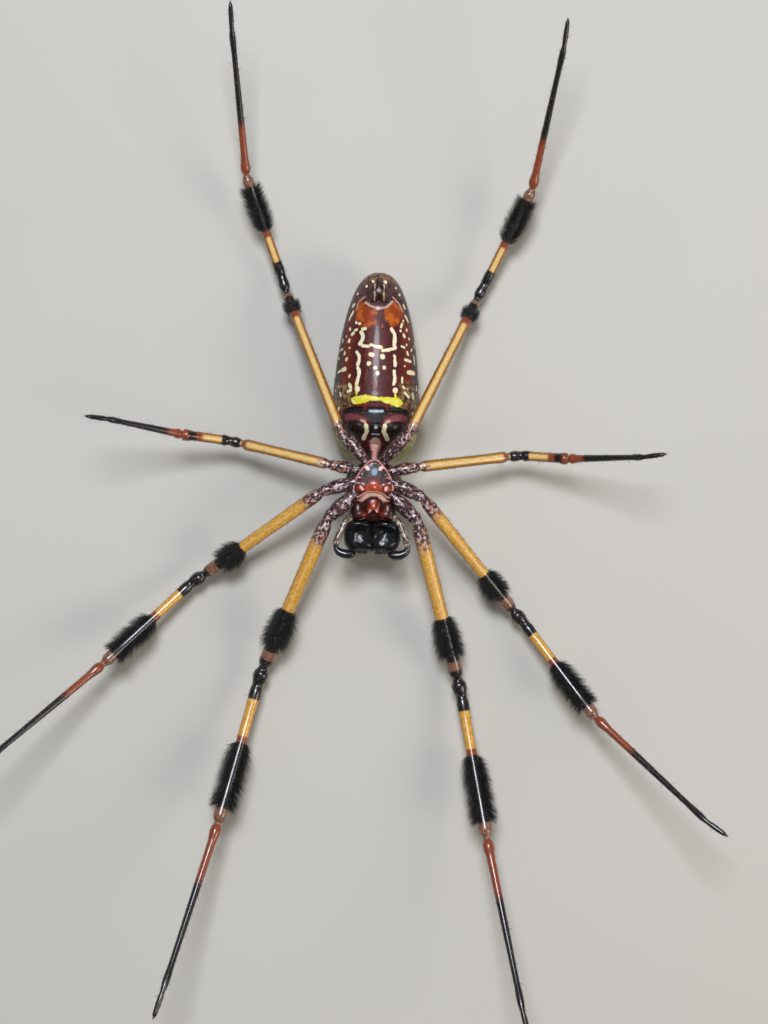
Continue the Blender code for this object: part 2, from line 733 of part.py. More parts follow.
def brush_span(brush, length):
    """Return the shares where a brush's core starts to rise, is full, falls and ends."""
    fade = CORE_FADE / length
    return (brush.start - fade, brush.start - 0.1 * fade, brush.end + 0.4 * fade,
            brush.end + 1.5 * fade)


def ring_shares(shares, brush, length):
    """Return where a segment's rings stand, with those of its brush's core put in."""
    if brush is None:
        return shares
    span = brush_span(brush, length)
    kept = [s for s in shares if s < span[0] - 0.02 or s > span[3] + 0.02]
    return sorted(kept + list(span))


def core_bulge(share, brush, length):
    """Return how far the dense core of a brush stands above the skin at a share."""
    if brush is None:
        return 0.0
    low, full, fall, end = brush_span(brush, length)
    return brush.core * smooth(low, full, share) * (1.0 - smooth(fall, end, share))


def leg_tube(name, stretches, brush_number, brushes, finish, seed):
    """Make one leg node from stretches of path, radius and share, with its brush if any."""
    path = [p for stretch in stretches for p in stretch.path]
    radii = [r for stretch in stretches for r in stretch.radii]
    item = to_object(name, sweep(path, radii, radii, LEG_SIDES, first=stretches[0].first,
                                 last=stretches[-1].last, end_tip=stretches[-1].tip))
    brush = brushes.get(brush_number)
    if brush is not None:
        host = stretches[-1]
        locks = brush_locks(host.start, host.end, host.bow, brush, host.skin, seed)
        apply_boolean(item, locks, "UNION")
    publish(item, finish, path[0])
    return item


@dataclass
class Stretch:
    """One segment of a leg inside a node: its rings, its bow and its end directions."""

    start: np.ndarray
    end: np.ndarray
    bow: np.ndarray
    skin: float
    path: list
    radii: list
    first: np.ndarray
    last: np.ndarray
    tip: np.ndarray = None


def make_femur(word, number):
    """Make one femur with its brush, its bare knee end and a slight bow."""
    joints = leg_joints(word, number)
    girth = LEG_GIRTH[number]
    first, last = joint_normal(joints, 1), joint_normal(joints, 2)
    start, end = joints[1] + first * GAP / 2.0, joints[2] - last * GAP / 2.0
    length = LEG_LENGTHS[number][1]
    bow = np.array([0.0, 0.0, 0.018 * length])
    brush = FEMUR_BRUSH.get(number)
    shares = [0.0, 0.05, 0.16, 0.34, 0.52, 0.70, 0.82, 0.91, 0.965, 1.0]
    base = [0.66, 0.92, 1.0, 0.98, 0.95, 0.94, 0.97, 1.02, 0.92, 0.68]
    every = ring_shares(shares, brush, length)
    radii = [girth.femur * float(np.interp(s, shares, base)) + core_bulge(s, brush, length)
             for s in every]
    stretch = Stretch(start, end, bow, girth.femur * 0.96,
                      segment_path(start, end, every, bow), radii, first, last)
    leg_tube(f"leg_{number}_{word}_femur", [stretch], number, FEMUR_BRUSH, GOLD_FINISH,
             SEED + 10 * number + (word == "left"))


def make_tibia(word, number):
    """Make one patella and tibia, with a notch between them and the tibia's brush."""
    joints = leg_joints(word, number)
    girth = LEG_GIRTH[number]
    first, last = joint_normal(joints, 2), joint_normal(joints, 4)
    knee, ankle = joints[3], joints[4] - last * GAP / 2.0
    start = joints[2] + first * GAP / 2.0
    still = np.zeros(3)
    patella_shares = (0.0, 0.22, 0.55, 0.86)
    patella = Stretch(start, knee, still, girth.knee,
                      segment_path(start, knee, patella_shares, still),
                      [girth.knee * s for s in (0.70, 0.96, 1.0, 0.84)], first, None)
    length = LEG_LENGTHS[number][3]
    bow = np.array([0.0, 0.0, -0.012 * length])
    brush = TIBIA_BRUSH.get(number)
    shares = [0.0, 0.05, 0.14, 0.38, 0.60, 0.80, 0.93, 0.98, 1.0]
    base = [0.98, 1.12, 1.02, 0.97, 1.0, 1.02, 1.22, 1.12, 0.82]
    every = ring_shares(shares, brush, length)
    radii = [girth.tibia * float(np.interp(s, shares, base)) + core_bulge(s, brush, length)
             for s in every]
    tibia = Stretch(knee, ankle, bow, girth.tibia, segment_path(knee, ankle, every, bow),
                    radii, None, last)
    leg_tube(f"leg_{number}_{word}_tibia", [patella, tibia], number, TIBIA_BRUSH,
             GOLD_FINISH, SEED + 10 * number + 5 + (word == "left"))


def make_metatarsus(word, number):
    """Make one metatarsus and tarsus, thinning to the tip that grips the silk."""
    joints = leg_joints(word, number)
    girth = LEG_GIRTH[number]
    first = joint_normal(joints, 4)
    start, ankle, tip = joints[4] + first * GAP / 2.0, joints[5], joints[6]
    length = LEG_LENGTHS[number][4]
    bow = np.array([0.0, 0.0, -0.022 * length])
    shares = (0.0, 0.03, 0.12, 0.35, 0.60, 0.84, 0.97)
    radii = [girth.metatarsus * s for s in (0.78, 1.16, 1.0, 0.90, 0.80, 0.72, 0.78)]
    shaft = Stretch(start, ankle, bow, girth.metatarsus,
                    segment_path(start, ankle, shares, bow), radii, first, None)
    still = np.zeros(3)
    foot = Stretch(ankle, tip, still, girth.tarsus,
                   segment_path(ankle, tip, (0.04, 0.30, 0.70, 0.90), still),
                   [girth.tarsus * s for s in (0.90, 1.0, 0.92, 0.78)], None, None,
                   tip + np.array([0.0, 0.0, 0.12]))
    leg_tube(f"leg_{number}_{word}_metatarsus", [shaft, foot], number, {},
             DARK_LEG_FINISH, SEED)


def make_thorax():
    """Make the prosoma with its pair of small horns, and cut seats for all set in it."""
    item = to_object("carapace", thorax_shell())
    sides = (-1.0, 1.0)
    back = thorax_section(CARAPACE_HORN_Y)[1]
    horns = []
    for side in sides:
        foot = at(side * CARAPACE_HORN_X, CARAPACE_HORN_Y, back + 0.55)
        top = foot + np.array([side * 0.08, 0.12, -0.62])
        horns.append(sweep([foot, top], [0.42, 0.26], [0.42, 0.26], 6, up=(0.0, 1.0, 0.0),
                           end_tip=top + np.array([0.0, 0.05, -0.28])))
    apply_boolean(item, horns, "UNION")
    tools = [sternum_shell(GAP), labium_shell(GAP), pedicel_shell(GAP)]
    tools += [endite_shell(side, GAP) for side in sides]
    tools += [chelicera_shell(side, GAP) for side in sides]
    tools += [coxa_shell(word, number, GAP) for word in ("left", "right")
              for number in LEG_LENGTHS]
    sockets = EYE_RADIUS + EYE_GAP
    tools += [ball(place, (sockets,) * 3) for place in eye_places().values()]
    apply_boolean(item, tools, "DIFFERENCE")
    publish(item, CARAPACE_FINISH, at(0.0, -5.0, 5.6))


def make_mouthparts():
    """Make the lip, maxillae, jaws and fangs."""
    publish(to_object("labium", labium_shell()), PLATE_FINISH, at(0.0, -6.3, 8.1))
    for side, word in ((-1.0, "left"), (1.0, "right")):
        item = to_object(f"endite_{word}", endite_shell(side))
        apply_boolean(item, [labium_shell(GAP), chelicera_shell(side, GAP)], "DIFFERENCE")
        publish(item, PLATE_FINISH, at(side * 1.8, -7.0, 7.75))
        item = to_object(f"chelicera_{word}", chelicera_shell(side))
        publish(item, BLACK_FINISH, at(side * CHELICERA_X, -9.2, 4.4))
        item = to_object(f"fang_{word}", fang_shell(side))
        apply_boolean(item, [chelicera_shell(side, GAP)], "DIFFERENCE")
        publish(item, BLACK_FINISH, at(side * 2.4, -8.9, 8.6))


def main():
    """Build the whole spider."""
    clear_scene()
    bpy.context.scene.collection.objects.link(bpy.data.objects.new(ROOT_NAME, None))
    make_abdomen()
    make_thorax()
    make_sternum()
    make_mouthparts()
    publish(to_object("pedicel", pedicel_shell()), PLATE_FINISH, at(0.0, 0.0, PEDICEL_Z))
    make_spinnerets()
    for name, place in eye_places().items():
        publish(to_object(name, ball(place, (EYE_RADIUS,) * 3)), BLACK_FINISH, place)
    make_palps()
    for word in ("left", "right"):
        for number in LEG_LENGTHS:
            make_coxa(word, number)
            make_femur(word, number)
            make_tibia(word, number)
            make_metatarsus(word, number)


main()
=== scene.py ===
"""A life-size golden silk orb weaver, dressed for its still portrait.

The frame is the solids' own: +Y from the head to the tail, +X the spider's right side and +Z
out of its belly, with the flat of its back at z = 0. Sizes in this file are millimetres, and
places along Y are counted from the waist; a mesh is scaled to metres when it is made.
"""
import logging
import math
from dataclasses import dataclass, field
from enum import Enum
from typing import Any

import bpy
import numpy as np
from mathutils import Euler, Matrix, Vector


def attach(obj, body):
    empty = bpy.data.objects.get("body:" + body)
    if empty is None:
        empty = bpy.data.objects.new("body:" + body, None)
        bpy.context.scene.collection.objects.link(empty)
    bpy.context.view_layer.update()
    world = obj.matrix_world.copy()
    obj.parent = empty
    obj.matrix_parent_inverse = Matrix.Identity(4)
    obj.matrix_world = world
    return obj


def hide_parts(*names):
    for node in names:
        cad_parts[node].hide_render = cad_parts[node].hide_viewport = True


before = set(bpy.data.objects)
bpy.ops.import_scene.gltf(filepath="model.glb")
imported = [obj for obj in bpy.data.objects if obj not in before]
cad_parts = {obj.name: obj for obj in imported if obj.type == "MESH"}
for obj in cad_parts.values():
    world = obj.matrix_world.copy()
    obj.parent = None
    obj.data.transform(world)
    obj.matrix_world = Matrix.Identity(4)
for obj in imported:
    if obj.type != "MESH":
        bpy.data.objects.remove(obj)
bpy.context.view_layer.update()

LOG = logging.getLogger("orb_weaver")
MM = 0.001
SEED = 24
REST_FROM_WAIST = 6.1
WAIST_Z = 7.0

Array = np.ndarray
Colour = tuple[float, float, float, float]


class Side(Enum):
    """The two sides of the spider, with the sign of X on each."""

    LEFT = -1.0
    RIGHT = 1.0

    @property
    def word(self) -> str:
        """Return the side's name as the solids' names give it."""
        return self.name.lower()

    def draws(self, number: int) -> np.random.Generator:
        """Return the source of random numbers for one of this side's sub-assemblies."""
        return np.random.default_rng(SEED + number + int(self is Side.LEFT))


class Slot(Enum):
    """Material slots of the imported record."""

    ABDOMEN = "abdomen"
    CARAPACE = "carapace"
    PLATES = "prosoma_plates"
    JAW = "jaw"
    EYE = "eye"
    PALP = "palp"
    SPINNERETS = "spinnerets"
    LEG = "leg"
    BRISTLE = "bristle"


# Small tools


def rgba(code: str) -> Colour:
    """Turn an sRGB hex colour into linear light.

    Args:
        code: Six hex digits after a hash sign.

    Returns:
        Linear red, green and blue, and an alpha of one.
    """
    parts = [int(code[i:i + 2], 16) / 255.0 for i in (1, 3, 5)]
    linear = [p / 12.92 if p <= 0.04045 else ((p + 0.055) / 1.055) ** 2.4 for p in parts]
    return (linear[0], linear[1], linear[2], 1.0)


def place(x: Array, y: Array, z: Array) -> Array:
    """Stack sideways, waist-counted and height values into points of the frame.

    Args:
        x: Sideways places in millimetres.
        y: Places along Y, counted from the waist.
        z: Heights above the floor.

    Returns:
        Points with the three values in the last axis.
    """
    return np.stack(np.broadcast_arrays(x, np.asarray(y) - REST_FROM_WAIST, z), axis=-1)


def unit(vectors: Array) -> Array:
    """Return the vectors at length one."""
    return vectors / np.maximum(np.linalg.norm(vectors, axis=-1, keepdims=True), 1e-12)


def ramp(low: float, high: float, value: Array) -> Array:
    """Rise evenly from 0 at low to 1 at high, as 3t^2 - 2t^3.

    Args:
        low: Where the rise starts.
        high: Where it ends.
        value: Where to read it.

    Returns:
        Values between 0 and 1.
    """
    t = np.clip((value - low) / (high - low), 0.0, 1.0)
    return t * t * (3.0 - 2.0 * t)


def bell(value: Array, middle: float, width: float) -> Array:
    """Return exp(-((value - middle) / width)^2), which is 1 at its middle."""
    return np.exp(-((value - middle) / width) ** 2)


def spline(at: Array, stops: Any, values: Any) -> Array:
    """Read a smooth curve through stops, a cubic with Catmull-Rom slopes in each gap.

    Args:
        at: Where to read the curve.
        stops: Rising places of the known values.
        values: The known values, one or several to a stop.

    Returns:
        The curve's values, with at's shape and the values' last axis.
    """
    x, y = np.asarray(stops, float), np.asarray(values, float)
    flat = y.reshape(len(x), -1)
    slope = np.gradient(flat, x, axis=0)
    k = np.clip(np.searchsorted(x, at, side="right") - 1, 0, len(x) - 2)
    gap = (x[k + 1] - x[k])[..., None]
    t = np.clip((np.asarray(at) - x[k])[..., None] / gap, 0.0, 1.0)
    low, high = flat[k], flat[k + 1]
    out = ((1 + 2 * t) * (1 - t) ** 2 * low + t * (1 - t) ** 2 * gap * slope[k]
           + t * t * (3 - 2 * t) * high + t * t * (t - 1) * gap * slope[k + 1])
    return out.reshape(np.shape(at) + y.shape[1:])


def tube_triangles(rows: int, around: int) -> Array:
    """Join rings of points, and one point past each end, into a closed skin.

    Args:
        rows: How many rings, one after the other.
        around: Points of each ring.

    Returns:
        Triangles whose corners count the rings' points, then the two end points.
    """
    k, n = np.arange(around), np.roll(np.arange(around), -1)
    base = (np.arange(rows - 1) * around)[:, None]
    quads = [np.stack([base + k, base + n, base + around + n], -1),
             np.stack([base + k, base + around + n, base + around + k], -1)]
    last, start, end = (rows - 1) * around, rows * around, rows * around + 1
    caps = [np.stack([n, k, np.full(around, start)], -1),
            np.stack([last + k, last + n, np.full(around, end)], -1)]
    return np.concatenate([q.reshape(-1, 3) for q in quads + caps])


def outward(points: Array, triangles: Array) -> Array:
    """Turn closed triangles outward, by the sign of the volume they enclose.

    Args:
        points: The corners' places.
        triangles: Corner numbers, three to a face.

    Returns:
        The same triangles, turned round if they enclosed a negative volume.
    """
    a, b, c = (points[triangles[:, i]] for i in range(3))
    volume = np.einsum("ij,ij->i", a, np.cross(b, c)).sum()
    return triangles if volume > 0.0 else triangles[:, ::-1]


@dataclass
class Skin:
    """A closed surface in millimetres with named values at its points."""

    points: Array
    triangles: Array
    values: dict[str, Array] = field(default_factory=dict)
    chart: Array | None = None

    @staticmethod
    def join(skins: "list[Skin]") -> "Skin":
        """Put several skins into one.

        Args:
            skins: Skins that carry the same named values.

        Returns:
            One skin with all their points and triangles.
        """
        starts = np.cumsum([0] + [len(s.points) for s in skins[:-1]])
        names = skins[0].values
        charts = [s.chart for s in skins]
        return Skin(np.concatenate([s.points for s in skins]),
                    np.concatenate([s.triangles + n for s, n in zip(skins, starts)]),
                    {k: np.concatenate([s.values[k] for s in skins]) for k in names},
                    None if charts[0] is None else np.concatenate(charts))


def grid_skin(rings: Array, start: Array, end: Array) -> Skin:
    """Close a grid of rings with a point at each end.

    Args:
        rings: Points in rows, one row to a ring.
        start: The point past the first ring.
        end: The point past the last ring.

    Returns:
        A closed skin that faces outward.
    """
    rows, around = rings.shape[:2]
    points = np.concatenate([rings.reshape(-1, 3), [start], [end]])
    return Skin(points, outward(points, tube_triangles(rows, around)))


def ball(middle: Array, half: tuple[float, float, float], rows: int, around: int) -> Skin:
    """Make a closed ellipsoid.

    A point is the middle plus the half sizes times sin(p) cos(t), sin(p) sin(t) and -cos(p),
    with p running from pole to pole and t round the ring.

    Args:
        middle: Its middle.
        half: Its half sizes along the three axes.
        rows: How many rings.
        around: Points of each ring.

    Returns:
        The ellipsoid, which faces outward.
    """
    polar = np.pi * (np.arange(rows) + 0.5)[:, None] / rows
    turn = 2.0 * np.pi * np.arange(around) / around
    rings = middle + np.stack([np.sin(polar) * np.cos(turn), np.sin(polar) * np.sin(turn),
                               -np.cos(polar) + 0.0 * turn], -1) * half
    pole = np.array([0.0, 0.0, half[2]])
    return grid_skin(rings, middle - pole, middle + pole)


def piece(name: str, skin: Skin, material: bpy.types.Material,
          nodes: tuple[str, ...] = ()) -> bpy.types.Object:
    """Make a finished object of a skin and hang it on the spider.

    Args:
        name: The piece's name.
        skin: Its surface, in millimetres.
        material: Its finish.
        nodes: The solids that it stands for.

    Returns:
        The new object, at the origin.
    """
    mesh = bpy.data.meshes.new(name)
    mesh.vertices.add(len(skin.points))
    mesh.vertices.foreach_set("co", (skin.points * MM).astype(np.float32).ravel())
    mesh.loops.add(skin.triangles.size)
    mesh.loops.foreach_set("vertex_index", skin.triangles.astype(np.int32).ravel())
    mesh.polygons.add(len(skin.triangles))
    mesh.polygons.foreach_set("loop_start", np.arange(0, skin.triangles.size, 3, np.int32))
    mesh.polygons.foreach_set("use_smooth", np.ones(len(skin.triangles), bool))
    mesh.update(calc_edges=True)
    for key, value in skin.values.items():
        layer = mesh.attributes.new(key, "FLOAT", "POINT")
        layer.data.foreach_set("value", value.astype(np.float32))
    if skin.chart is not None:
        layer = mesh.uv_layers.new(name="OFBake")
        layer.data.foreach_set("uv", skin.chart[skin.triangles].astype(np.float32).ravel())
    mesh.materials.append(material)
    item = bpy.data.objects.new(name, mesh)
    bpy.context.scene.collection.objects.link(item)
    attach(item, "root")
    if nodes:
        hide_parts(*nodes)
    LOG.info("%s: %d triangles, stands for %s", name, len(skin.triangles), nodes or "no solid")
    return item


def add_node(tree: bpy.types.NodeTree, kind: str, settings: dict[str, Any] | None = None,
             inputs: dict[Any, Any] | None = None) -> bpy.types.Node:
    """Add a shader node, set its choices, and fill or link its sockets.

    Args:
        tree: The material's node tree.
        kind: The node's type, without its ShaderNode start.
        settings: Choices by name.
        inputs: Values or other nodes' outputs, by socket name or number.

    Returns:
        The new node.
    """
    node = tree.nodes.new("ShaderNode" + kind)
    for key, value in (settings or {}).items():
        setattr(node, key, value)
    for key, value in (inputs or {}).items():
        socket = node.inputs[key]
        if isinstance(value, bpy.types.NodeSocket):
            tree.links.new(value, socket)
        else:
            socket.default_value = value
    return node


@dataclass
class Dye:
    """A material in the making: its node tree, its shader and the pattern's place."""

    name: str
    shader: dict[str, Any]
    material: bpy.types.Material = field(init=False)
    tree: bpy.types.NodeTree = field(init=False)
    body: bpy.types.Node = field(init=False)
    spot: bpy.types.NodeSocket = field(init=False)

    def __post_init__(self) -> None:
        """Make the material with its shader's own sockets set."""
        self.material = bpy.data.materials.new(self.name)
        self.material.use_nodes = True
        self.tree = self.material.node_tree
        self.body = self.tree.nodes["Principled BSDF"]
        for key, value in self.shader.items():
            self.body.inputs[key].default_value = value
        self.spot = self.add("TexCoord").outputs["Object"]

    def add(self, kind: str, settings: dict[str, Any] | None = None,
            inputs: dict[Any, Any] | None = None) -> bpy.types.Node:
        """Add a node to this material's tree and return it."""
        return add_node(self.tree, kind, settings, inputs)

    def value(self, name: str) -> bpy.types.NodeSocket:
        """Return the socket that gives a named value of the mesh's points."""
        return self.add("Attribute", {"attribute_name": name}).outputs["Fac"]

    def noise(self, size_mm: float, detail: float = 3.0,
              stretch: tuple[float, float, float] = (1.0, 1.0, 1.0)) -> bpy.types.NodeSocket:
        """Lay an even cloud pattern over the piece.

        Args:
            size_mm: How wide its blotches are.
            detail: How many finer octaves are added.
            stretch: How many times finer it is along each axis.

        Returns:
            The pattern's value, from 0 to 1 about 0.5.
        """
        spread = self.add("Mapping", None, {"Vector": self.spot, "Scale": stretch})
        return self.add("TexNoise", None, {
            "Vector": spread.outputs[0], "Scale": 1.0 / (size_mm * MM), "Detail": detail,
            "Roughness": 0.6}).outputs[0]

    def math(self, operation: str, a: Any, b: Any = 0.0, c: Any = 0.0) -> bpy.types.NodeSocket:
        """Return the result of one arithmetic step."""
        return self.add("Math", {"operation": operation}, {0: a, 1: b, 2: c}).outputs[0]

    def edge(self, depth: Any, wander: Any, reach: float, soft: float) -> bpy.types.NodeSocket:
        """Turn a depth inside a mark into how much of the mark shows.

        Args:
            depth: Millimetres inside the mark's outline, less than zero outside it.
            wander: Noise that moves the outline, about 0.5.
            reach: How far the noise moves it.
            soft: How wide the blurred outline is.

        Returns:
            0 outside the mark and 1 inside it.
        """
        moved = self.math("MULTIPLY_ADD", wander, 2.0 * reach, depth)
        return self.add("MapRange", {"interpolation_type": "SMOOTHSTEP"}, {
            0: moved, 1: reach - soft / 2.0, 2: reach + soft / 2.0}).outputs[0]

    def blotch(self, cloud: Any, level: float = 0.5, soft: float = 0.1) -> bpy.types.NodeSocket:
        """Cut a cloud pattern into blotches.

        Args:
            cloud: The pattern, from 0 to 1 about 0.5.
            level: Where the blotches start, fewer of them the higher it is.
            soft: How far the pattern runs from one side of a blotch's rim to the other.

        Returns:
            1 in the blotches and 0 between them.
        """
        return self.add("MapRange", {"interpolation_type": "SMOOTHSTEP"}, {
            0: cloud, 1: level - soft / 2.0, 2: level + soft / 2.0}).outputs[0]

    def mix(self, share: Any, low: Any, high: Any) -> bpy.types.NodeSocket:
        """Mix two colours, each a socket or a hex code.

        Args:
            share: How much of the second shows.
            low: The colour where the share is 0.
            high: The colour where it is 1.

        Returns:
            The mixed colour.
        """
        low, high = (rgba(c) if isinstance(c, str) else c for c in (low, high))
        return self.add("Mix", {"data_type": "RGBA"}, {0: share, 6: low, 7: high}).outputs[2]

    def dapple(self, cloud: Any, level: float, soft: float, low: Any,
               high: Any) -> bpy.types.NodeSocket:
        """Return the low colour with blotches of the high one, as blotch cuts them."""
        return self.mix(self.blotch(cloud, level, soft), low, high)

    def marks(self, body: Any, layers: tuple) -> bpy.types.NodeSocket:
        """Lay coloured marks over a colour, one over the other.

        Args:
            body: The colour under them.
            layers: For each mark the mesh value that holds its depth, the noise that moves
                its outline, how far it moves it, how soft the outline is, and its colour.

        Returns:
            The colour with all marks on it.
        """
        for name, wander, reach, soft, colour in layers:
            body = self.mix(self.edge(self.value(name), wander, reach, soft), body, colour)
        return body

    def paint(self, colour: Any) -> None:
        """Link a colour to the shader."""
        self.tree.links.new(colour, self.body.inputs["Base Color"])

    def gloss(self, share: Any, low: float, high: float) -> None:
        """Let the shader's roughness run from low to high with a share from 0 to 1."""
        spread = self.add("MapRange", None, {0: share, 3: low, 4: high}).outputs[0]
        self.tree.links.new(spread, self.body.inputs["Roughness"])

    def relief(self, height: Any, depth_mm: float, strength: float = 1.0) -> None:
        """Raise and sink the surface's shading by a height from 0 to 1."""
        bump = self.add("Bump", None, {"Height": height, "Distance": depth_mm * MM,
                                       "Strength": strength})
        self.tree.links.new(bump.outputs[0], self.body.inputs["Normal"])


# Finishes


@dataclass(frozen=True)
class AbdomenCuticle:
    """Soft, stretched skin over pigment cells: satin, blotched, never flat.

    Pigment cells are about 0.05 mm wide, too fine to show, so the speckle is drawn coarser.
    """

    maroon: str = "#4C1213"
    red_brown: str = "#6E200D"
    purple: str = "#2A1317"
    grey_purple: str = "#573636"
    orange: str = "#BE5E16"
    burnt: str = "#93390F"
    cream: str = "#FAF2D2"
    cream_shade: str = "#EBDDA8"
    butter: str = "#E4D832"
    butter_light: str = "#FBF3B0"
    black: str = "#0C0A0D"
    plate: str = "#3E1412"
    plate_shine: str = "#7A4448"
    lung: str = "#1E0F0A"
    olive: str = "#A9A653"
    band: str = "#8C7F42"
    tan: str = "#A2814F"
    back: str = "#7E5F22"
    blush: str = "#7C3A40"
    # The skin's own pinkish lines, with painted highlights at the inner ends of the plates.
    pink: str = "#CBA48F"
    # Painted highlights of the light on the glossy black middle of the belly.
    silver: str = "#BCC8D4"
    tip: str = "#8E5E40"
    speckle_mm: float = 0.45
    cloud_mm: float = 1.7
    fold_mm: float = 0.30
    roughness: tuple[float, float] = (0.42, 0.26)

    def material(self) -> bpy.types.Material:
        """Layer the pigments over each other by the mesh's own outlines of the marks; the silver
        marks, the shine on the plates and the first two pinkish lines are painted highlights.

        Returns:
            The finished material.
        """
        dye = Dye("spider_abdomen_cuticle", {
            "IOR": 1.45, "Specular IOR Level": 0.4, "Subsurface Weight": 0.05,
            "Subsurface Radius": (0.0009, 0.0004, 0.0003), "Coat Weight": 0.20,
            "Coat Roughness": 0.13, "Subsurface Scale": 0.5})
        fine = dye.noise(self.speckle_mm, 4.0)
        broad = dye.noise(self.cloud_mm)
        rump = dye.dapple(dye.noise(0.8), 0.52, 0.16, self.grey_purple, self.purple)
        tail = dye.dapple(dye.noise(0.5), 0.53, 0.14, self.tip, self.purple)
        flank = dye.dapple(dye.noise(0.6), 0.48, 0.30, self.tan, self.purple)
        band = dye.dapple(dye.noise(0.9), 0.50, 0.16, self.olive, self.band)
        plate = dye.dapple(dye.noise(0.7), 0.62, 0.14, self.plate, self.plate_shine)
        body = dye.marks(dye.dapple(broad, 0.56, 0.16, self.maroon, self.red_brown), (
            ("flank", broad, 0.9, 1.6, self.red_brown),
            ("margin", broad, 0.8, 1.3, self.purple),
            ("rump", broad, 0.8, 1.6, rump),
            ("tip", broad, 1.0, 1.0, tail),
            ("tan", dye.noise(0.9), 1.8, 1.0, flank),
            ("dorsum", dye.noise(1.3, 4.0), 2.6, 1.6,
             dye.dapple(broad, 0.5, 0.14, self.back, self.tan)),
            ("orange", dye.noise(0.7), 0.75, 0.60,
             dye.dapple(broad, 0.5, 0.12, self.orange, self.burnt)),
            ("olive", broad, 0.55, 0.35, band),
            ("plate", fine, 0.12, 0.15, plate),
            ("ember", fine, 0.12, 0.10, self.orange),
            ("blush", broad, 0.30, 0.34, self.blush),
            # Pinkish lines, the first two of them painted highlights.
            ("pink", fine, 0.16, 0.2, self.pink),
            ("black", fine, 0.12, 0.14, self.black),
            ("lung", fine, 0.05, 0.20, self.lung),
            ("butter", broad, 0.5, 0.14,
             dye.dapple(fine, 0.60, 0.14, self.butter, self.butter_light)),
            # Painted highlights on the black middle of the belly.
            ("silver", fine, 0.10, 0.12, self.silver)))
        cream = dye.edge(dye.value("cream"), dye.noise(0.60, 1.0), 0.13, 0.09)
        dye.paint(dye.mix(cream, body, dye.mix(fine, self.cream, self.cream_shade)))
        dye.gloss(dye.edge(dye.value("lung"), fine, 0.05, 0.3), *self.roughness)
        # The folds run across the body, so they are finer along Y.
        folds = dye.noise(self.fold_mm, 3.0, (1.0, 2.6, 1.0))
        dye.relief(dye.math("MULTIPLY_ADD", cream, 0.5, folds), 0.10, 0.55)
        return dye.material


@dataclass(frozen=True)
class LegChitin:
    """Hard tanned cuticle of the legs, amber where thin and black where thick, with a gloss.
    The amber down its sides is partly painted shade, the pale line along its top is a painted
    highlight, and the small pale dots over the gold are painted glints.

    Its scales are about 0.02 mm long, and are drawn six times coarser so that they show.
    """

    gold: str = "#CF922C"
    pale_gold: str = "#E6B85A"
    # Partly the leg's own darker brown sides, partly painted shade where the leg turns away from
    # the light.
    amber: str = "#854F15"
    # A painted highlight: the pale line along the top of the leg, and the small pale dots.
    highlight_crest: str = "#E6C27E"
    rust: str = "#8A3D1C"
    tan: str = "#8E6850"
    joint: str = "#6A3A2A"
    dark: str = "#210B10"
    mauve: str = "#6C4246"
    # Pale flecks of the mottling, gathered on the top of each ring as a painted highlight.
    lilac_highlight: str = "#C6B3B8"
    fleck: str = "#C0834E"
    black: str = "#0A090B"
    black_brown: str = "#241013"
    pitting_mm: float = 0.22
    grain_mm: float = 0.34
    scale_mm: float = 0.12
    roughness: tuple[float, float] = (0.16, 0.40)

    def material(self) -> bpy.types.Material:
        """Band the leg by the mesh's own depths of each colour.

        Returns:
            The finished material.
        """
        dye = Dye("spider_leg_chitin", {
            "IOR": 1.54, "Specular IOR Level": 0.5, "Coat Weight": 0.45,
            "Coat Roughness": 0.15, "Subsurface Weight": 0.05, "Subsurface Scale": 0.3,
            "Subsurface Radius": (0.0008, 0.0004, 0.0002)})
        fine = dye.noise(self.pitting_mm)
        grain = dye.noise(self.grain_mm)
        gold = dye.dapple(grain, 0.56, 0.30, self.gold, self.pale_gold)
        # Amber down the sides: partly painted shade, partly the leg's own darker brown.
        gold = dye.marks(gold, (("flank", grain, 0.16, 0.45, self.amber),
                                # highlight_crest: a painted highlight along the top of the leg.
                                ("highlight_crest", fine, 0.02, 0.07, self.highlight_crest)))
        # Painted glints: small pale dots scattered over the gold.
        gold = dye.dapple(dye.noise(0.20, 1.0), 0.70, 0.05, gold, self.highlight_crest)
        # The pale flecks gather on the top of each ring by its height: a painted highlight on
        # the mottling.
        lift = dye.math("MULTIPLY_ADD", dye.value("high"), 0.15, dye.noise(0.42, 2.5))
        near = dye.math("MULTIPLY_ADD", dye.value("mottle"), -0.065, dye.noise(0.46, 2.0))
        spots = dye.dapple(grain, 0.53, 0.14, self.dark, self.mauve)
        spots = dye.dapple(near, 0.51, 0.10, spots, self.fleck)
        spots = dye.dapple(lift, 0.705, 0.11, spots, self.lilac_highlight)
        dye.paint(dye.marks(gold, (
            ("rust", grain, 0.4, 0.9, self.rust),
            ("tan", grain, 0.3, 0.8, dye.dapple(grain, 0.52, 0.3, self.tan, self.joint)),
            ("mottle", grain, 1.2, 0.9, spots),
            ("black", fine, 0.3, 0.7,
             dye.dapple(grain, 0.60, 0.14, self.black, self.black_brown)))))
        dye.gloss(fine, *self.roughness)
        dye.relief(dye.noise(self.scale_mm), 0.022, 0.5)
        return dye.material


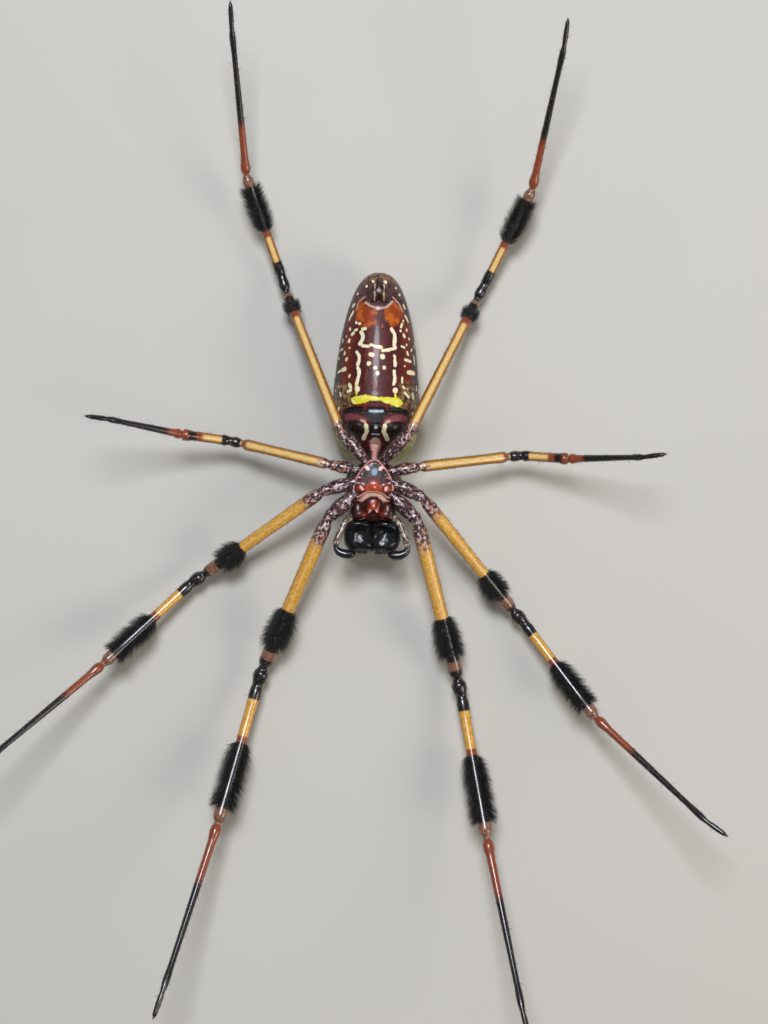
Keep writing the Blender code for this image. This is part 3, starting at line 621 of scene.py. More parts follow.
@dataclass(frozen=True)
class PlateChitin:
    """Thick sclerotised plates of the underside: glassy dark red with a pink rim."""

    red: str = "#681A11"
    deep: str = "#34100E"
    orange: str = "#B0421F"
    rim: str = "#D89A90"
    black: str = "#0E0A10"
    # A painted reflection of the light on the black middle of the breastplate.
    blue: str = "#8FA2B4"
    # The plates' own whitish marks, and painted highlights on the breastplate's tubercles and in
    # the middle of the lip.
    pale: str = "#E9C9C4"
    pitting_mm: float = 0.22
    roughness: tuple[float, float] = (0.20, 0.55)

    def material(self) -> bpy.types.Material:
        """Colour each plate by the mesh's own depths of its marks.

        Returns:
            The finished material.
        """
        dye = Dye("spider_plate_chitin", {
            "IOR": 1.54, "Specular IOR Level": 0.32, "Coat Weight": 0.14,
            "Coat Roughness": 0.10})
        fine = dye.noise(0.30)
        black = dye.edge(dye.value("black"), fine, 0.2, 0.2)
        body = dye.marks(dye.dapple(dye.noise(0.9), 0.5, 0.14, self.red, self.deep), (
            ("deep", fine, 0.3, 0.6, self.deep), ("orange", fine, 0.25, 0.5, self.orange)))
        dye.paint(dye.marks(dye.mix(black, body, self.black), (
            # blue: a painted reflection on the black.
            ("blue", fine, 0.25, 0.4, self.blue), ("pale", fine, 0.12, 0.16, self.pale),
            ("rim", fine, 0.06, 0.10, self.rim))))
        worn = dye.math("MAXIMUM", dye.math("MULTIPLY", fine, 0.6), black)
        dye.gloss(worn, *self.roughness)
        dye.relief(dye.noise(self.pitting_mm), 0.014, 0.5)
        return dye.material


@dataclass(frozen=True)
class PolishedChitin:
    """Black chitin as smooth as lacquer, with sharp small highlights, on jaws and eyes."""

    name: str = "spider_jaw_chitin"
    black: str = "#050506"
    tint: str = "#101211"
    roughness: tuple[float, float] = (0.10, 0.26)
    coat: float = 0.3
    pores_mm: float = 0.10
    pore_depth_mm: float = 0.012
    swell_mm: float = 0.0

    def material(self) -> bpy.types.Material:
        """Give the black a breath of grey and faint pores.

        Returns:
            The finished material.
        """
        dye = Dye(self.name, {"IOR": 1.54, "Specular IOR Level": 0.4, "Coat Weight": self.coat,
                              "Coat Roughness": 0.10})
        cloud = dye.noise(0.8)
        dye.paint(dye.mix(cloud, self.black, self.tint))
        dye.gloss(cloud, *self.roughness)
        swell = dye.math("MULTIPLY", dye.noise(1.0, 1.0), self.swell_mm / self.pore_depth_mm)
        height = dye.math("ADD", dye.noise(self.pores_mm, 2.0), swell)
        dye.relief(height, self.pore_depth_mm, 0.6)
        return dye.material


@dataclass(frozen=True)
class CarapaceChitin:
    """Dark cuticle of the back, seen between the silvery hairs that lie on it."""

    dark: str = "#1C1512"
    brown: str = "#3B2A20"
    under: str = "#3A1210"
    tissue: str = "#C9A08C"

    def material(self) -> bpy.types.Material:
        """Blotch the dark cuticle with brown, and redden it under the body.

        Returns:
            The finished material.
        """
        dye = Dye("spider_carapace_chitin", {"IOR": 1.54, "Specular IOR Level": 0.5})
        cloud = dye.noise(0.9, 4.0)
        dye.paint(dye.marks(dye.mix(cloud, self.dark, self.brown), (
            ("belly", cloud, 0.2, 0.4, self.under), ("pale", cloud, 0.2, 0.2, self.tissue))))
        dye.gloss(cloud, 0.30, 0.50)
        dye.relief(dye.noise(0.18), 0.04, 0.7)
        return dye.material


@dataclass(frozen=True)
class HairFinish:
    """Solid hairs: a soft sheen along each, a little paler or darker from hair to hair."""

    name: str
    root: str
    tip: str
    other: str
    roughness: tuple[float, float] = (0.40, 0.55)
    sheen: float = 0.3

    def material(self) -> bpy.types.Material:
        """Shade hairs from root to tip and from one to the next.

        Returns:
            The finished material.
        """
        dye = Dye(self.name, {"IOR": 1.55, "Specular IOR Level": 0.5,
                              "Sheen Weight": self.sheen, "Sheen Roughness": 0.4})
        body = dye.mix(dye.value("along"), self.root, self.tip)
        dye.paint(dye.mix(dye.value("tone"), body, self.other))
        dye.gloss(dye.value("tone"), *self.roughness)
        return dye.material


@dataclass(frozen=True)
class PalpChitin:
    """Palps: silvery brown cuticle with flecks, and black glossy last joints."""

    brown: str = "#5B4638"
    silver: str = "#BDB2A6"
    black: str = "#0C0B0D"

    def material(self) -> bpy.types.Material:
        """Fleck the stem and blacken the end by the mesh's own depth.

        Returns:
            The finished material.
        """
        dye = Dye("spider_palp_chitin", {"IOR": 1.54, "Specular IOR Level": 0.55,
                                         "Coat Weight": 0.3, "Coat Roughness": 0.12})
        fine = dye.noise(0.25)
        flecked = dye.dapple(dye.noise(0.4, 2.0), 0.55, 0.06, self.brown, self.silver)
        dye.paint(dye.marks(flecked, (("black", fine, 0.2, 0.4, self.black),)))
        dye.gloss(fine, 0.18, 0.38)
        dye.relief(dye.noise(0.12), 0.02, 0.6)
        return dye.material


@dataclass(frozen=True)
class SpinneretSkin:
    """Spinnerets: dark ringed cones, each with a pale streak down its outer face."""

    dark: str = "#1A0F0C"
    brown: str = "#4A2A20"
    pale: str = "#C9AE86"
    skin: str = "#3C2019"

    def material(self) -> bpy.types.Material:
        """Streak the cones by the mesh's own depths.

        Returns:
            The finished material.
        """
        dye = Dye("spider_spinneret_skin", {"IOR": 1.5, "Specular IOR Level": 0.5,
                                            "Coat Weight": 0.2, "Coat Roughness": 0.2})
        fine = dye.noise(0.2)
        dye.paint(dye.marks(dye.mix(fine, self.dark, self.brown), (
            ("skin", fine, 0.1, 0.2, dye.dapple(fine, 0.5, 0.2, self.skin, self.brown)),
            ("pale", fine, 0.10, 0.12, self.pale))))
        dye.gloss(fine, 0.25, 0.45)
        dye.relief(dye.noise(0.10, 2.0, (1.0, 1.0, 2.0)), 0.03, 0.7)
        return dye.material


@dataclass(frozen=True)
class FloorPaper:
    """Matt pale backdrop paper under the spider."""

    pale: str = "#CCC8BE"
    shade: str = "#C5C1B7"

    def material(self) -> bpy.types.Material:
        """Give the paper a faint, wide unevenness.

        Returns:
            The finished material.
        """
        dye = Dye("matt_backdrop_paper", {"Specular IOR Level": 0.2})
        dye.paint(dye.mix(dye.noise(60.0, 2.0), self.pale, self.shade))
        dye.gloss(dye.noise(5.0, 2.0), 0.75, 0.9)
        return dye.material


# Hairs


@dataclass
class Hairs:
    """Where hairs stand and how they grow, one row of values to each hair."""

    roots: Array
    ways: Array
    lengths: Array
    bends: Array
    charts: Array
    radius: float = 0.022
    blunt: float = 0.55
    steps: tuple[float, ...] = (0.0, 0.38, 0.72)

    def skin(self, draw: np.random.Generator) -> Skin:
        """Grow every hair as a three-sided closed spike.

        The spine is root + way * length * t + bend * length * t^2 for t from 0 to 1, and
        the radius falls as (1 - t) to the power of blunt, down to one point at the tip.

        Args:
            draw: Source of each hair's own tone.

        Returns:
            One skin with the values along and tone, and each hair's patch on the chart.
        """
        count, steps = len(self.roots), np.asarray(self.steps)
        way = unit(self.ways)
        side = unit(np.cross(way, np.array([0.31, 0.55, 0.77])))
        top = np.cross(way, side)
        length = self.lengths[:, None, None]
        t = np.append(steps, 1.0)[None, :, None]
        spine = (self.roots[:, None] + way[:, None] * length * t
                 + self.bends[:, None] * length * t * t)
        turn = 2.0 * np.pi * np.arange(3) / 3.0
        ring = (side[:, None] * np.cos(turn)[None, :, None]
                + top[:, None] * np.sin(turn)[None, :, None])
        size = self.radius * (1.0 - steps) ** self.blunt
        rings = spine[:, :-1, None] + ring[:, None] * size[None, :, None, None]
        per = len(steps) * 3 + 1
        points = np.concatenate([rings.reshape(count, -1, 3), spine[:, -1:]], axis=1)
        faces = [(0, 2, 1)]
        for row in range(len(steps) - 1):
            for k in range(3):
                a, b = row * 3 + k, row * 3 + (k + 1) % 3
                faces += [(a, b, b + 3), (a, b + 3, a + 3)]
        last = per - 4
        faces += [(last + k, last + (k + 1) % 3, per - 1) for k in range(3)]
        triangles = (np.asarray(faces)[None] + (np.arange(count) * per)[:, None, None])
        along = np.append(np.repeat(steps, 3), 1.0)
        tone = np.repeat(draw.uniform(0.0, 1.0, count) ** 2, per)
        across = np.append(np.tile(np.arange(3) / 2.0, len(steps)), 0.5)
        patch = np.stack([along, across], -1)[None] * 0.003
        chart = (self.charts[:, None] * 0.99 + patch).reshape(-1, 2)
        return Skin(points.reshape(-1, 3), triangles.reshape(-1, 3),
                    {"along": np.tile(along, count), "tone": tone}, chart)


def stroke_depth(spots: Array, strokes: "tuple[tuple[float, tuple], ...]") -> Array:
    """Measure how deep points lie inside round-ended strokes.

    Each stroke is a half width and a line of points; the depth is the half width less the
    distance to the line's nearest place, and the greatest over all strokes.

    Args:
        spots: Points in the plane, two values each.
        strokes: Half widths with their lines, a single point making a dot.

    Returns:
        Millimetres inside, less than zero outside.
    """
    best = np.full(len(spots), -9.0)
    for half, line in strokes:
        path = np.asarray(line, float)
        path = path if len(path) > 1 else np.repeat(path, 2, axis=0)
        for a, b in zip(path[:-1], path[1:]):
            run = b - a
            t = np.clip((spots - a) @ run / max(float(run @ run), 1e-9), 0.0, 1.0)
            gap = np.linalg.norm(spots - a - t[:, None] * run, axis=1)
            best = np.maximum(best, half - gap)
    return best


def patch_depth(spots: Array, outline: tuple) -> Array:
    """Measure how deep points lie inside a closed outline.

    The depth is the distance to the nearest side, its sign by whether a ray from the point
    crosses the outline an odd number of times.

    Args:
        spots: Points in the plane, two values each.
        outline: The outline's corners in order.

    Returns:
        Millimetres inside, less than zero outside.
    """
    ring = np.asarray(outline + outline[:1], float)
    gap = -stroke_depth(spots, ((0.0, tuple(map(tuple, ring))),))
    inside = np.zeros(len(spots), bool)
    for (ax, ay), (bx, by) in zip(ring[:-1], ring[1:]):
        spans = (ay > spots[:, 1]) != (by > spots[:, 1])
        cross = ax + (spots[:, 1] - ay) * (bx - ax) / (by - ay if by != ay else 1e-9)
        inside ^= spans & (spots[:, 0] < cross)
    return np.where(inside, gap, -gap)


def sweep(path: Array, wide: Array, tall: Array, around: int,
          up: tuple[float, float, float] = (0.0, 0.0, 1.0)) -> Array:
    """Carry an ellipse along a path.

    Each ring is the path's point plus the sideways axis by wide * cos(turn) and the upward
    axis by tall * sin(turn), square to the path's run.

    Args:
        path: Points of the path in order.
        wide: Half widths, one to a point.
        tall: Half heights, one to a point.
        around: Points of each ring.
        up: The direction that the rings' tops look to.

    Returns:
        Rings of points in rows.
    """
    way = unit(np.gradient(path, axis=0))
    side = unit(np.cross(way, np.asarray(up)))
    top = np.cross(side, way)
    turn = 2.0 * np.pi * (np.arange(around) + 0.5) / around
    return (path[:, None] + side[:, None] * (wide[:, None] * np.cos(turn))[..., None]
            + top[:, None] * (tall[:, None] * np.sin(turn))[..., None])


def round_ends(shares: Array, start: float, end: float) -> Array:
    """Shrink a tube to nothing at its ends, as the square root of an ellipse's height.

    Args:
        shares: Shares of the tube's length.
        start: Share over which the start rounds off.
        end: Share over which the end rounds off.

    Returns:
        Factors from 0 at the very ends to 1.
    """
    low = np.clip(1.0 - shares / max(start, 1e-6), 0.0, 1.0)
    high = np.clip(1.0 - (1.0 - shares) / max(end, 1e-6), 0.0, 1.0)
    return np.sqrt(np.maximum(1.0 - low * low, 0.0) * np.maximum(1.0 - high * high, 0.0))


def tube(stops: Any, points: Any, wide: Any, tall: Any, rows: int, around: int,
         up: tuple[float, float, float] = (0.0, 0.0, 1.0),
         ends: tuple[float, float] = (0.12, 0.12)) -> tuple[Skin, Array]:
    """Carry an ellipse along a smooth path through stops and round off both ends.

    Args:
        stops: Shares of the length at which points and sizes are known.
        points: The path's known points.
        wide: Known half widths.
        tall: Known half heights.
        rows: How many rings.
        around: Points of each ring.
        up: The direction that the rings' tops look to.
        ends: Shares over which each end rounds off.

    Returns:
        The closed skin, and its rings.
    """
    shares = (1.0 - np.cos(np.pi * (np.arange(rows) + 0.5) / rows)) / 2.0
    path = spline(shares, stops, points)
    close = round_ends(shares, *ends)
    rings = sweep(path, spline(shares, stops, wide) * close,
                  spline(shares, stops, tall) * close, around, up)
    return grid_skin(rings, np.asarray(points[0], float), np.asarray(points[-1], float)), rings


def along_points(shares: Array, around: int, ends: int = 2) -> Array:
    """Repeat one value per ring for every point of a closed tube."""
    return np.concatenate([np.repeat(shares, around), [shares[0], shares[-1]][:ends]])


@dataclass
class Roots:
    """Places picked at random on a surface of rings, with their directions."""

    spots: Array
    normals: Array
    ahead: Array
    charts: Array

    def hairs(self, draw: np.random.Generator, rise: float, lean: float, loose: float,
              lengths: tuple[float, float], bends: Array, sink: float = 0.02,
              **shape: Any) -> Hairs:
        """Set a hair in each place.

        It points along the normal times rise plus the rows' direction times lean, with a
        random part added.

        Args:
            draw: Source of the directions and lengths.
            rise: How much it stands up.
            lean: How much it leans along the rows.
            loose: Spread of the random part.
            lengths: The shortest and the longest hair.
            bends: How far each tip bends away, as a share of the length.
            sink: How deep the roots are set in.
            shape: The hairs' radius, blunt and steps.

        Returns:
            The hairs.
        """
        count = len(self.spots)
        ways = self.normals * rise + self.ahead * lean + draw.normal(0.0, loose, (count, 3))
        return Hairs(self.spots - self.normals * sink, ways, draw.uniform(*lengths, count),
                     bends, self.charts, **shape)


def scatter(rings: Array, count: int, draw: np.random.Generator,
            weight: Array | None = None) -> Roots:
    """Pick places evenly by area on a surface of rings.

    A cell is picked by its area times its weight, and a place in it by two random shares;
    the normal is the cross product of the cell's diagonals, away from the ring's middle.

    Args:
        rings: Rings of points in rows.
        count: How many places.
        draw: Source of the picks.
        weight: How much each cell counts, with one row less than the rings.

    Returns:
        The places with their normals, the directions of rising rows, and chart places.
    """
    here, beside = rings, np.roll(rings, -1, axis=1)
    a, b, c, d = here[:-1], beside[:-1], beside[1:], here[1:]
    normal = np.cross(c - a, d - b)
    area = np.linalg.norm(normal, axis=-1)
    chance = (area * (1.0 if weight is None else weight)).ravel()
    pick = draw.choice(chance.size, count, p=chance / chance.sum())
    row, col = np.unravel_index(pick, area.shape)
    u, v = draw.uniform(0.0, 1.0, (2, count, 1))
    spot = ((a[row, col] * (1 - u) + b[row, col] * u) * (1 - v)
            + (d[row, col] * (1 - u) + c[row, col] * u) * v)
    facing = unit(normal[row, col])
    middle = rings[row].mean(axis=1)
    facing *= np.sign(np.einsum("ij,ij->i", facing, spot - middle))[:, None]
    chart = np.stack([(row + v[:, 0]) / len(rings), (col + u[:, 0]) / rings.shape[1]], -1)
    return Roots(spot, facing, unit(d[row, col] - a[row, col]), chart)


# The abdomen


# Marks of the belly as seen square from above: a half width, and the points of its line,
# sideways and along Y from the waist. A line of one point is a dot.
CREAM_STROKES = (
    (0.17, ((-2.0, 14.1), (-1.75, 13.75), (-1.78, 13.28), (-2.10, 12.75))),
    (0.15, ((-1.75, 12.52), (-1.36, 12.43), (-1.05, 12.42))),
    (0.15, ((-0.78, 12.63), (-0.23, 12.44), (0.50, 12.36))),
    (0.17, ((1.62, 14.62), (1.97, 14.1), (2.05, 13.38), (1.96, 12.75), (2.08, 12.36))),
    (0.14, ((2.02, 12.28), (1.30, 12.10), (0.66, 11.97))),
    (0.17, ((-2.42, 11.78), (-2.15, 11.36), (-2.12, 10.64), (-2.33, 10.28))),
    (0.15, ((-2.28, 9.86), (-2.06, 9.57), (-2.18, 8.73), (-2.34, 7.95))),
    (0.12, ((2.03, 11.45), (2.12, 11.1))),
    (0.17, ((2.10, 10.9), (2.17, 10.3))),
    (0.16, ((2.06, 9.57), (2.18, 8.74), (2.07, 8.05))),
    (0.30, ((-2.23, 7.36),)), (0.30, ((2.25, 7.31),)),
    (0.23, ((-0.76, 11.46), (-0.60, 11.45))), (0.24, ((0.62, 11.32), (0.66, 11.20))),
    (0.23, ((-0.94, 10.38),)), (0.18, ((-0.15, 9.92),)), (0.20, ((0.88, 9.95),)),
    (0.21, ((0.1, 9.27),)),
    (0.12, ((-3.03, 16.64), (-3.25, 16.2), (-3.48, 15.67))),
    (0.11, ((-2.88, 17.6), (-3.13, 17.31))),
    (0.11, ((3.18, 16.34), (3.56, 15.69))), (0.10, ((2.94, 17.7), (3.15, 17.25))),
    (0.10, ((-4.65, 9.4), (-4.2, 9.63))), (0.19, ((-4.15, 9.65), (-3.75, 9.74))),
    (0.20, ((3.76, 9.59), (4.45, 9.52))), (0.11, ((3.3, 11.03), (4.02, 10.86))),
    (0.10, ((4.35, 11.6), (4.48, 10.59))), (0.11, ((3.04, 8.86), (3.05, 8.31))),
    (0.12, ((-2.63, 15.28),)), (0.09, ((-2.25, 15.17), (-2.14, 15.17))),
    (0.14, ((-3.33, 14.6), (-3.33, 14.48))), (0.12, ((-2.72, 14.42), (-2.5, 14.46))),
    (0.15, ((-1.84, 14.52), (-1.48, 14.56))), (0.14, ((-3.08, 13.88), (-2.92, 14.04))),
    (0.12, ((-3.72, 13.7),)), (0.13, ((-4.18, 13.3), (-4.18, 13.1))),
    (0.15, ((-3.43, 13.05), (-3.38, 13.2))), (0.12, ((-3.32, 12.28),)),
    (0.15, ((-3.93, 11.6), (-3.87, 11.74))), (0.15, ((-3.69, 10.9), (-3.58, 11.02))),
    (0.11, ((-4.54, 11.05),)), (0.07, ((-4.45, 12.05), (-4.15, 12.2))),
    (0.10, ((-3.28, 8.78), (-3.18, 8.98))), (0.09, ((-4.5, 7.65),)),
    (0.12, ((-4.91, 7.22),)), (0.16, ((-3.2, 7.87), (-3.05, 7.5))),
    (0.12, ((-3.35, 7.05), (-3.0, 7.2))), (0.10, ((-4.3, 6.9), (-4.2, 6.6))),
    (0.10, ((-2.56, 18.86),)), (0.12, ((-1.51, 19.72),)), (0.08, ((-4.11, 14.88),)),
    (0.11, ((2.96, 15.68),)), (0.14, ((2.86, 15.3), (2.74, 14.98))),
    (0.10, ((2.7, 14.47),)), (0.15, ((3.08, 13.98), (3.2, 13.8))),
    (0.14, ((3.41, 14.66), (3.41, 14.54))), (0.10, ((3.74, 13.61),)),
    (0.15, ((3.46, 12.89),)), (0.09, ((4.02, 12.15), (4.12, 12.4))),
    (0.12, ((4.36, 12.73),)), (0.15, ((3.55, 11.92), (3.67, 11.72))),
    (0.07, ((3.29, 10.26),)), (0.10, ((3.15, 7.8), (3.35, 7.6))), (0.10, ((3.73, 7.59),)),
    (0.11, ((4.8, 7.9), (4.8, 7.55))), (0.15, ((4.35, 7.0), (4.45, 6.5))),
    (0.10, ((3.4, 7.1), (3.9, 6.6))), (0.12, ((2.45, 18.88),)), (0.09, ((2.01, 19.7),)),
    (0.06, ((2.87, 12.63), (3.2, 12.5))), (0.15, ((4.45, 4.6), (4.5, 4.2))),
    (0.12, ((-4.4, 5.1), (-4.5, 4.7))), (0.20, ((-1.12, 3.1), (-0.98, 2.38), (-1.35, 1.55))),
    (0.20, ((1.16, 3.1), (1.02, 2.38), (1.48, 1.55))),
    (0.15, ((-0.76, 20.38),)), (0.15, ((0.74, 20.32),)), (0.10, ((-0.27, 20.11),)),
    (0.08, ((0.4, 19.95), (0.6, 20.1))), (0.12, ((-0.95, 19.5),)),
)
YELLOW_BAND = (
    (0.30, ((-2.75, 6.10), (-1.6, 6.28), (0.07, 6.26), (1.5, 6.15), (2.85, 5.90))),
    (0.44, ((-2.5, 6.06), (-1.35, 6.26))), (0.44, ((1.4, 6.14), (2.7, 5.84))),
    (0.12, ((-2.3, 7.0), (-2.3, 6.3))), (0.10, ((2.25, 7.0), (2.35, 6.1))),
    (0.10, ((-2.36, 7.9), (-2.34, 7.6))),
)
# The first two lines, at the inner ends of the plates, are painted highlights; the rest are the
# skin's own pinkish colour.
PINK_AND_HIGHLIGHT_LINES = (
    (0.17, ((-1.62, 3.66), (-1.25, 3.50))), (0.17, ((1.32, 3.50), (1.62, 3.66))),
    (0.62, ((0.05, 1.10), (0.07, 0.45))),
    (0.13, ((-1.57, 17.75), (-0.96, 17.30), (0.0, 17.0), (0.95, 17.2), (1.64, 17.95))),
    (0.07, ((-1.71, 18.4), (-2.41, 17.85), (-2.68, 16.83))),
    (0.07, ((1.63, 18.5), (2.40, 17.75), (2.95, 16.75))),
)
BLACK_MARKS = (
    (0.34, ((-3.5, 4.72), (-2.6, 4.98), (-1.7, 4.96))),
    (0.34, ((1.8, 4.98), (2.7, 5.00), (3.6, 4.76))),
    (0.50, ((-0.78, 4.72), (0.92, 4.76))), (0.20, ((-3.86, 4.6), (-3.9, 3.5))),
    (0.20, ((3.95, 4.6), (3.98, 3.5))), (0.46, ((-0.34, 4.15), (0.50, 4.15))),
    (0.44, ((0.08, 3.8), (0.08, 3.2))), (0.42, ((-0.15, 2.80), (0.31, 2.80))),
    (0.20, ((-0.72, 2.32), (0.08, 2.42), (0.88, 2.32))),
    (0.14, ((-0.60, 1.90), (0.75, 1.90))),
)
BLUSH_STROKES = (
    (0.36, ((-3.35, 4.05), (-2.3, 4.0), (-1.35, 3.68))),
    (0.36, ((1.40, 3.70), (2.4, 4.02), (3.45, 4.07))),
)
# Painted highlights: bluish-white glints of the light on the black bar and on the epigyne.
HIGHLIGHT_STROKES = (
    (0.12, ((-0.7, 4.76), (0.85, 4.80))), (0.19, ((0.07, 2.84),)),
    (0.06, ((-0.35, 2.08), (0.5, 2.08))),
)
ORANGE_PATCHES = (
    ((-2.17, 17.79), (-2.61, 16.71), (-2.47, 15.88), (-1.61, 14.95), (-0.66, 15.21),
     (-0.46, 16.29), (-1.32, 17.34)),
    ((2.01, 17.79), (2.75, 16.98), (2.76, 16.38), (2.19, 15.41), (1.47, 15.3), (0.85, 16.33),
     (1.66, 17.31)),
)
EMBER_STREAKS = (
    (0.07, ((-0.4, 14.27),)), (0.06, ((0.5, 15.1), (0.54, 14.7))),
    (0.05, ((-0.12, 8.6), (0.03, 8.1), (0.0, 7.72), (-0.44, 7.47))),
    (0.05, ((-1.1, 9.6), (-1.35, 8.4))), (0.05, ((-0.3, 15.4), (-0.35, 14.9))),
)


@dataclass
class Abdomen:
    """The long abdomen: blunt in front, tapering to the tail, flat where it rests."""

    front: float = -1.0
    widest: float = 4.4
    tail: float = 21.6
    half_width: float = 5.27
    half_height: float = 5.65
    axis_z: float = 4.95
    slant: float = 0.30
    droop: float = 1.75
    droop_end: float = 1.6
    rows: int = 300
    around: int = 290
    lung: tuple[float, float, float, float] = (2.57, 2.65, 1.12, 0.86)
    epigyne: tuple[float, float, float, float] = (0.1, 2.95, 1.0, 0.55)
    lung_rise: float = 0.26
    lung_rim: float = 0.10
    epigyne_rise: float = 0.36
    fold_y: float = 5.0
    fold_depth: float = 0.20
    band_y: float = 6.2
    ridge_rise: float = 0.10
    seam_x: float = 1.9
    seam_depth: float = 0.06
    lip_y: float = 17.35
    side_specks: int = 62
    back_dots: int = 6
    hairs: int = 2600

    def girth(self, y: Array) -> Array:
        """Work out the half width at y as a share of the widest.

        Ahead of the widest place it is (1 - t^2.4)^(1/4), and behind it
        (1 - t^1.6)^(1/2.6), with t rising from 0 there to 1 at each end.

        Args:
            y: Places along Y.

        Returns:
            Shares from 0 to 1.
        """
        ahead = np.clip((self.widest - y) / (self.widest - self.front), 0.0, 1.0)
        behind = np.clip((y - self.widest) / (self.tail - self.widest), 0.0, 1.0)
        return np.where(y < self.widest, (1.0 - ahead ** 2.4) ** 0.25,
                        (1.0 - behind ** 1.6) ** (1.0 / 2.6))

    def unrolled(self, x: Array, y: Array) -> Array:
        """Lay belly places, seen square from above, out along the curved skin.

        The distance from the middle is the half width times the arcsine of x over it.

        Args:
            x: Sideways places.
            y: Places along Y.

        Returns:
            Places on the unrolled skin, two values each.
        """
        wide = self.half_width * self.girth(y)
        return np.stack([wide * np.arcsin(np.clip(x / wide, -1.0, 1.0)), y], -1)

    def lines(self, strokes: tuple) -> tuple:
        """Return strokes seen from above as strokes on the unrolled skin."""
        return tuple((half, tuple(map(tuple, self.unrolled(*np.asarray(line, float).T))))
                     for half, line in strokes)

    def rings(self) -> tuple[Array, Array, Array]:
        """Work out the skin's rings, and each point's place on the unrolled skin.

        A ring at y is an ellipse with the girth at y. The front leans back with height and
        hangs by the droop, and heights are held above the floor by the soft maximum
        (h + sqrt(h^2 + r^2)) / 2. The lung covers and the epigyne are raised over their own
        ellipses by a power of 1 - r^2, and the fold behind them, the ridge of the yellow
        band, the seams of the belly and the lip before the spinnerets are bells.

        Returns:
            The rings, the unrolled sideways places and the places along Y.
        """
        middle, half = (self.front + self.tail) / 2.0, (self.tail - self.front) / 2.0
        turn = np.pi * (np.arange(self.rows) + 0.6) / (self.rows + 0.2)
        y = (middle - half * np.cos(turn))[:, None]
        share = self.girth(y)
        a = 2.0 * np.pi * (np.arange(self.around) + 0.5) / self.around - np.pi / 2.0
        wide, tall = self.half_width * share, self.half_height * share ** 0.9
        sag = self.droop * (1.0 - ramp(self.front, self.droop_end, y))
        height = self.axis_z - sag + tall * np.sin(a)
        lean = (1.0 - ramp(self.front, self.widest, y)) * self.slant
        along = y + lean * np.maximum(height - 3.0, 0.0)
        x = wide * np.cos(a)
        height = 0.5 * (height + np.sqrt(height ** 2 + 0.22 ** 2))
        belly = ramp(0.2, 0.6, np.sin(a) + 0.0 * y)
        for side in (-1.0, 1.0):
            cx, cy, rx, ry = self.lung
            out = ((x - side * cx) / rx) ** 2 + ((along - cy) / ry) ** 2
            height += belly * self.lung_rise * np.maximum(1.0 - out, 0.0) ** 0.8
            height -= belly * self.lung_rim * bell(np.sqrt(out), 1.12, 0.10)
        cx, cy, rx, ry = self.epigyne
        out = ((x - cx) / rx) ** 2 + ((along - cy) / ry) ** 2
        height += belly * self.epigyne_rise * np.maximum(1.0 - out, 0.0) ** 0.8
        fold = bell(along, self.fold_y, 0.22) * ramp(4.2, 3.4, np.abs(x))
        height -= belly * self.fold_depth * fold
        height += belly * self.ridge_rise * bell(along, self.band_y, 0.45)
        seam = bell(np.abs(x), self.seam_x, 0.30) * ramp(6.5, 8.0, along)
        height -= belly * self.seam_depth * seam * ramp(16.5, 14.5, along)
        lip = np.exp(-((along - self.lip_y) / 0.35) ** 2 - (x / 1.5) ** 4)
        height += belly * self.ridge_rise * lip
        unrolled_x = wide * np.arctan2(np.cos(a), np.sin(a))
        return place(x, along, height), unrolled_x + 0.0 * y, along

    def marks(self, s: Array, y: Array) -> dict[str, Array]:
        """Measure how deep every point lies in each of the skin's marks.

        Args:
            s: Places across the unrolled skin.
            y: Places along Y.

        Returns:
            Depths in millimetres by the mark's name.
        """
        spots = np.stack([s, y], -1)
        wide = self.half_width * self.girth(y)
        draw = np.random.default_rng(SEED + 1)
        specks = []
        for side in (-1.0, 1.0):
            for _ in range(self.side_specks):
                py, ps = draw.uniform(2.6, 20.3), side * draw.uniform(6.4, 11.2)
                run = draw.uniform(0.0, 0.45)
                specks.append((draw.uniform(0.10, 0.19),
                               ((ps, py), (ps + draw.uniform(-0.15, 0.15), py - run))))
            for k in range(self.back_dots):
                py = 4.4 + 2.9 * k
                rim = float(np.pi * self.half_width * self.girth(np.array(py)))
                specks.append((0.36 - 0.03 * k, ((side * (rim - 2.1 + 0.2 * k), py),)))
                specks.append((0.16, ((side * (rim - 3.9 + 0.3 * k), py + 1.3),)))
        cream = np.maximum(stroke_depth(spots, self.lines(CREAM_STROKES)) + 0.05,
                           stroke_depth(spots, tuple(specks)))
        flat = [patch_depth(spots, tuple(map(tuple, self.unrolled(*np.asarray(p).T))))
                for p in ORANGE_PATCHES]
        size = np.abs(s)
        cx, cy, rx, ry = self.lung
        lung = (1.0 - np.hypot((size - cx * 1.06) / rx, (y - cy) / ry)) * 0.9
        tan = np.minimum(np.minimum(8.0 - y, y - 5.0), np.minimum(size - 3.0, 6.5 - size))
        rump = np.minimum(y - 17.4 + 0.35 * size, 12.0 - size)
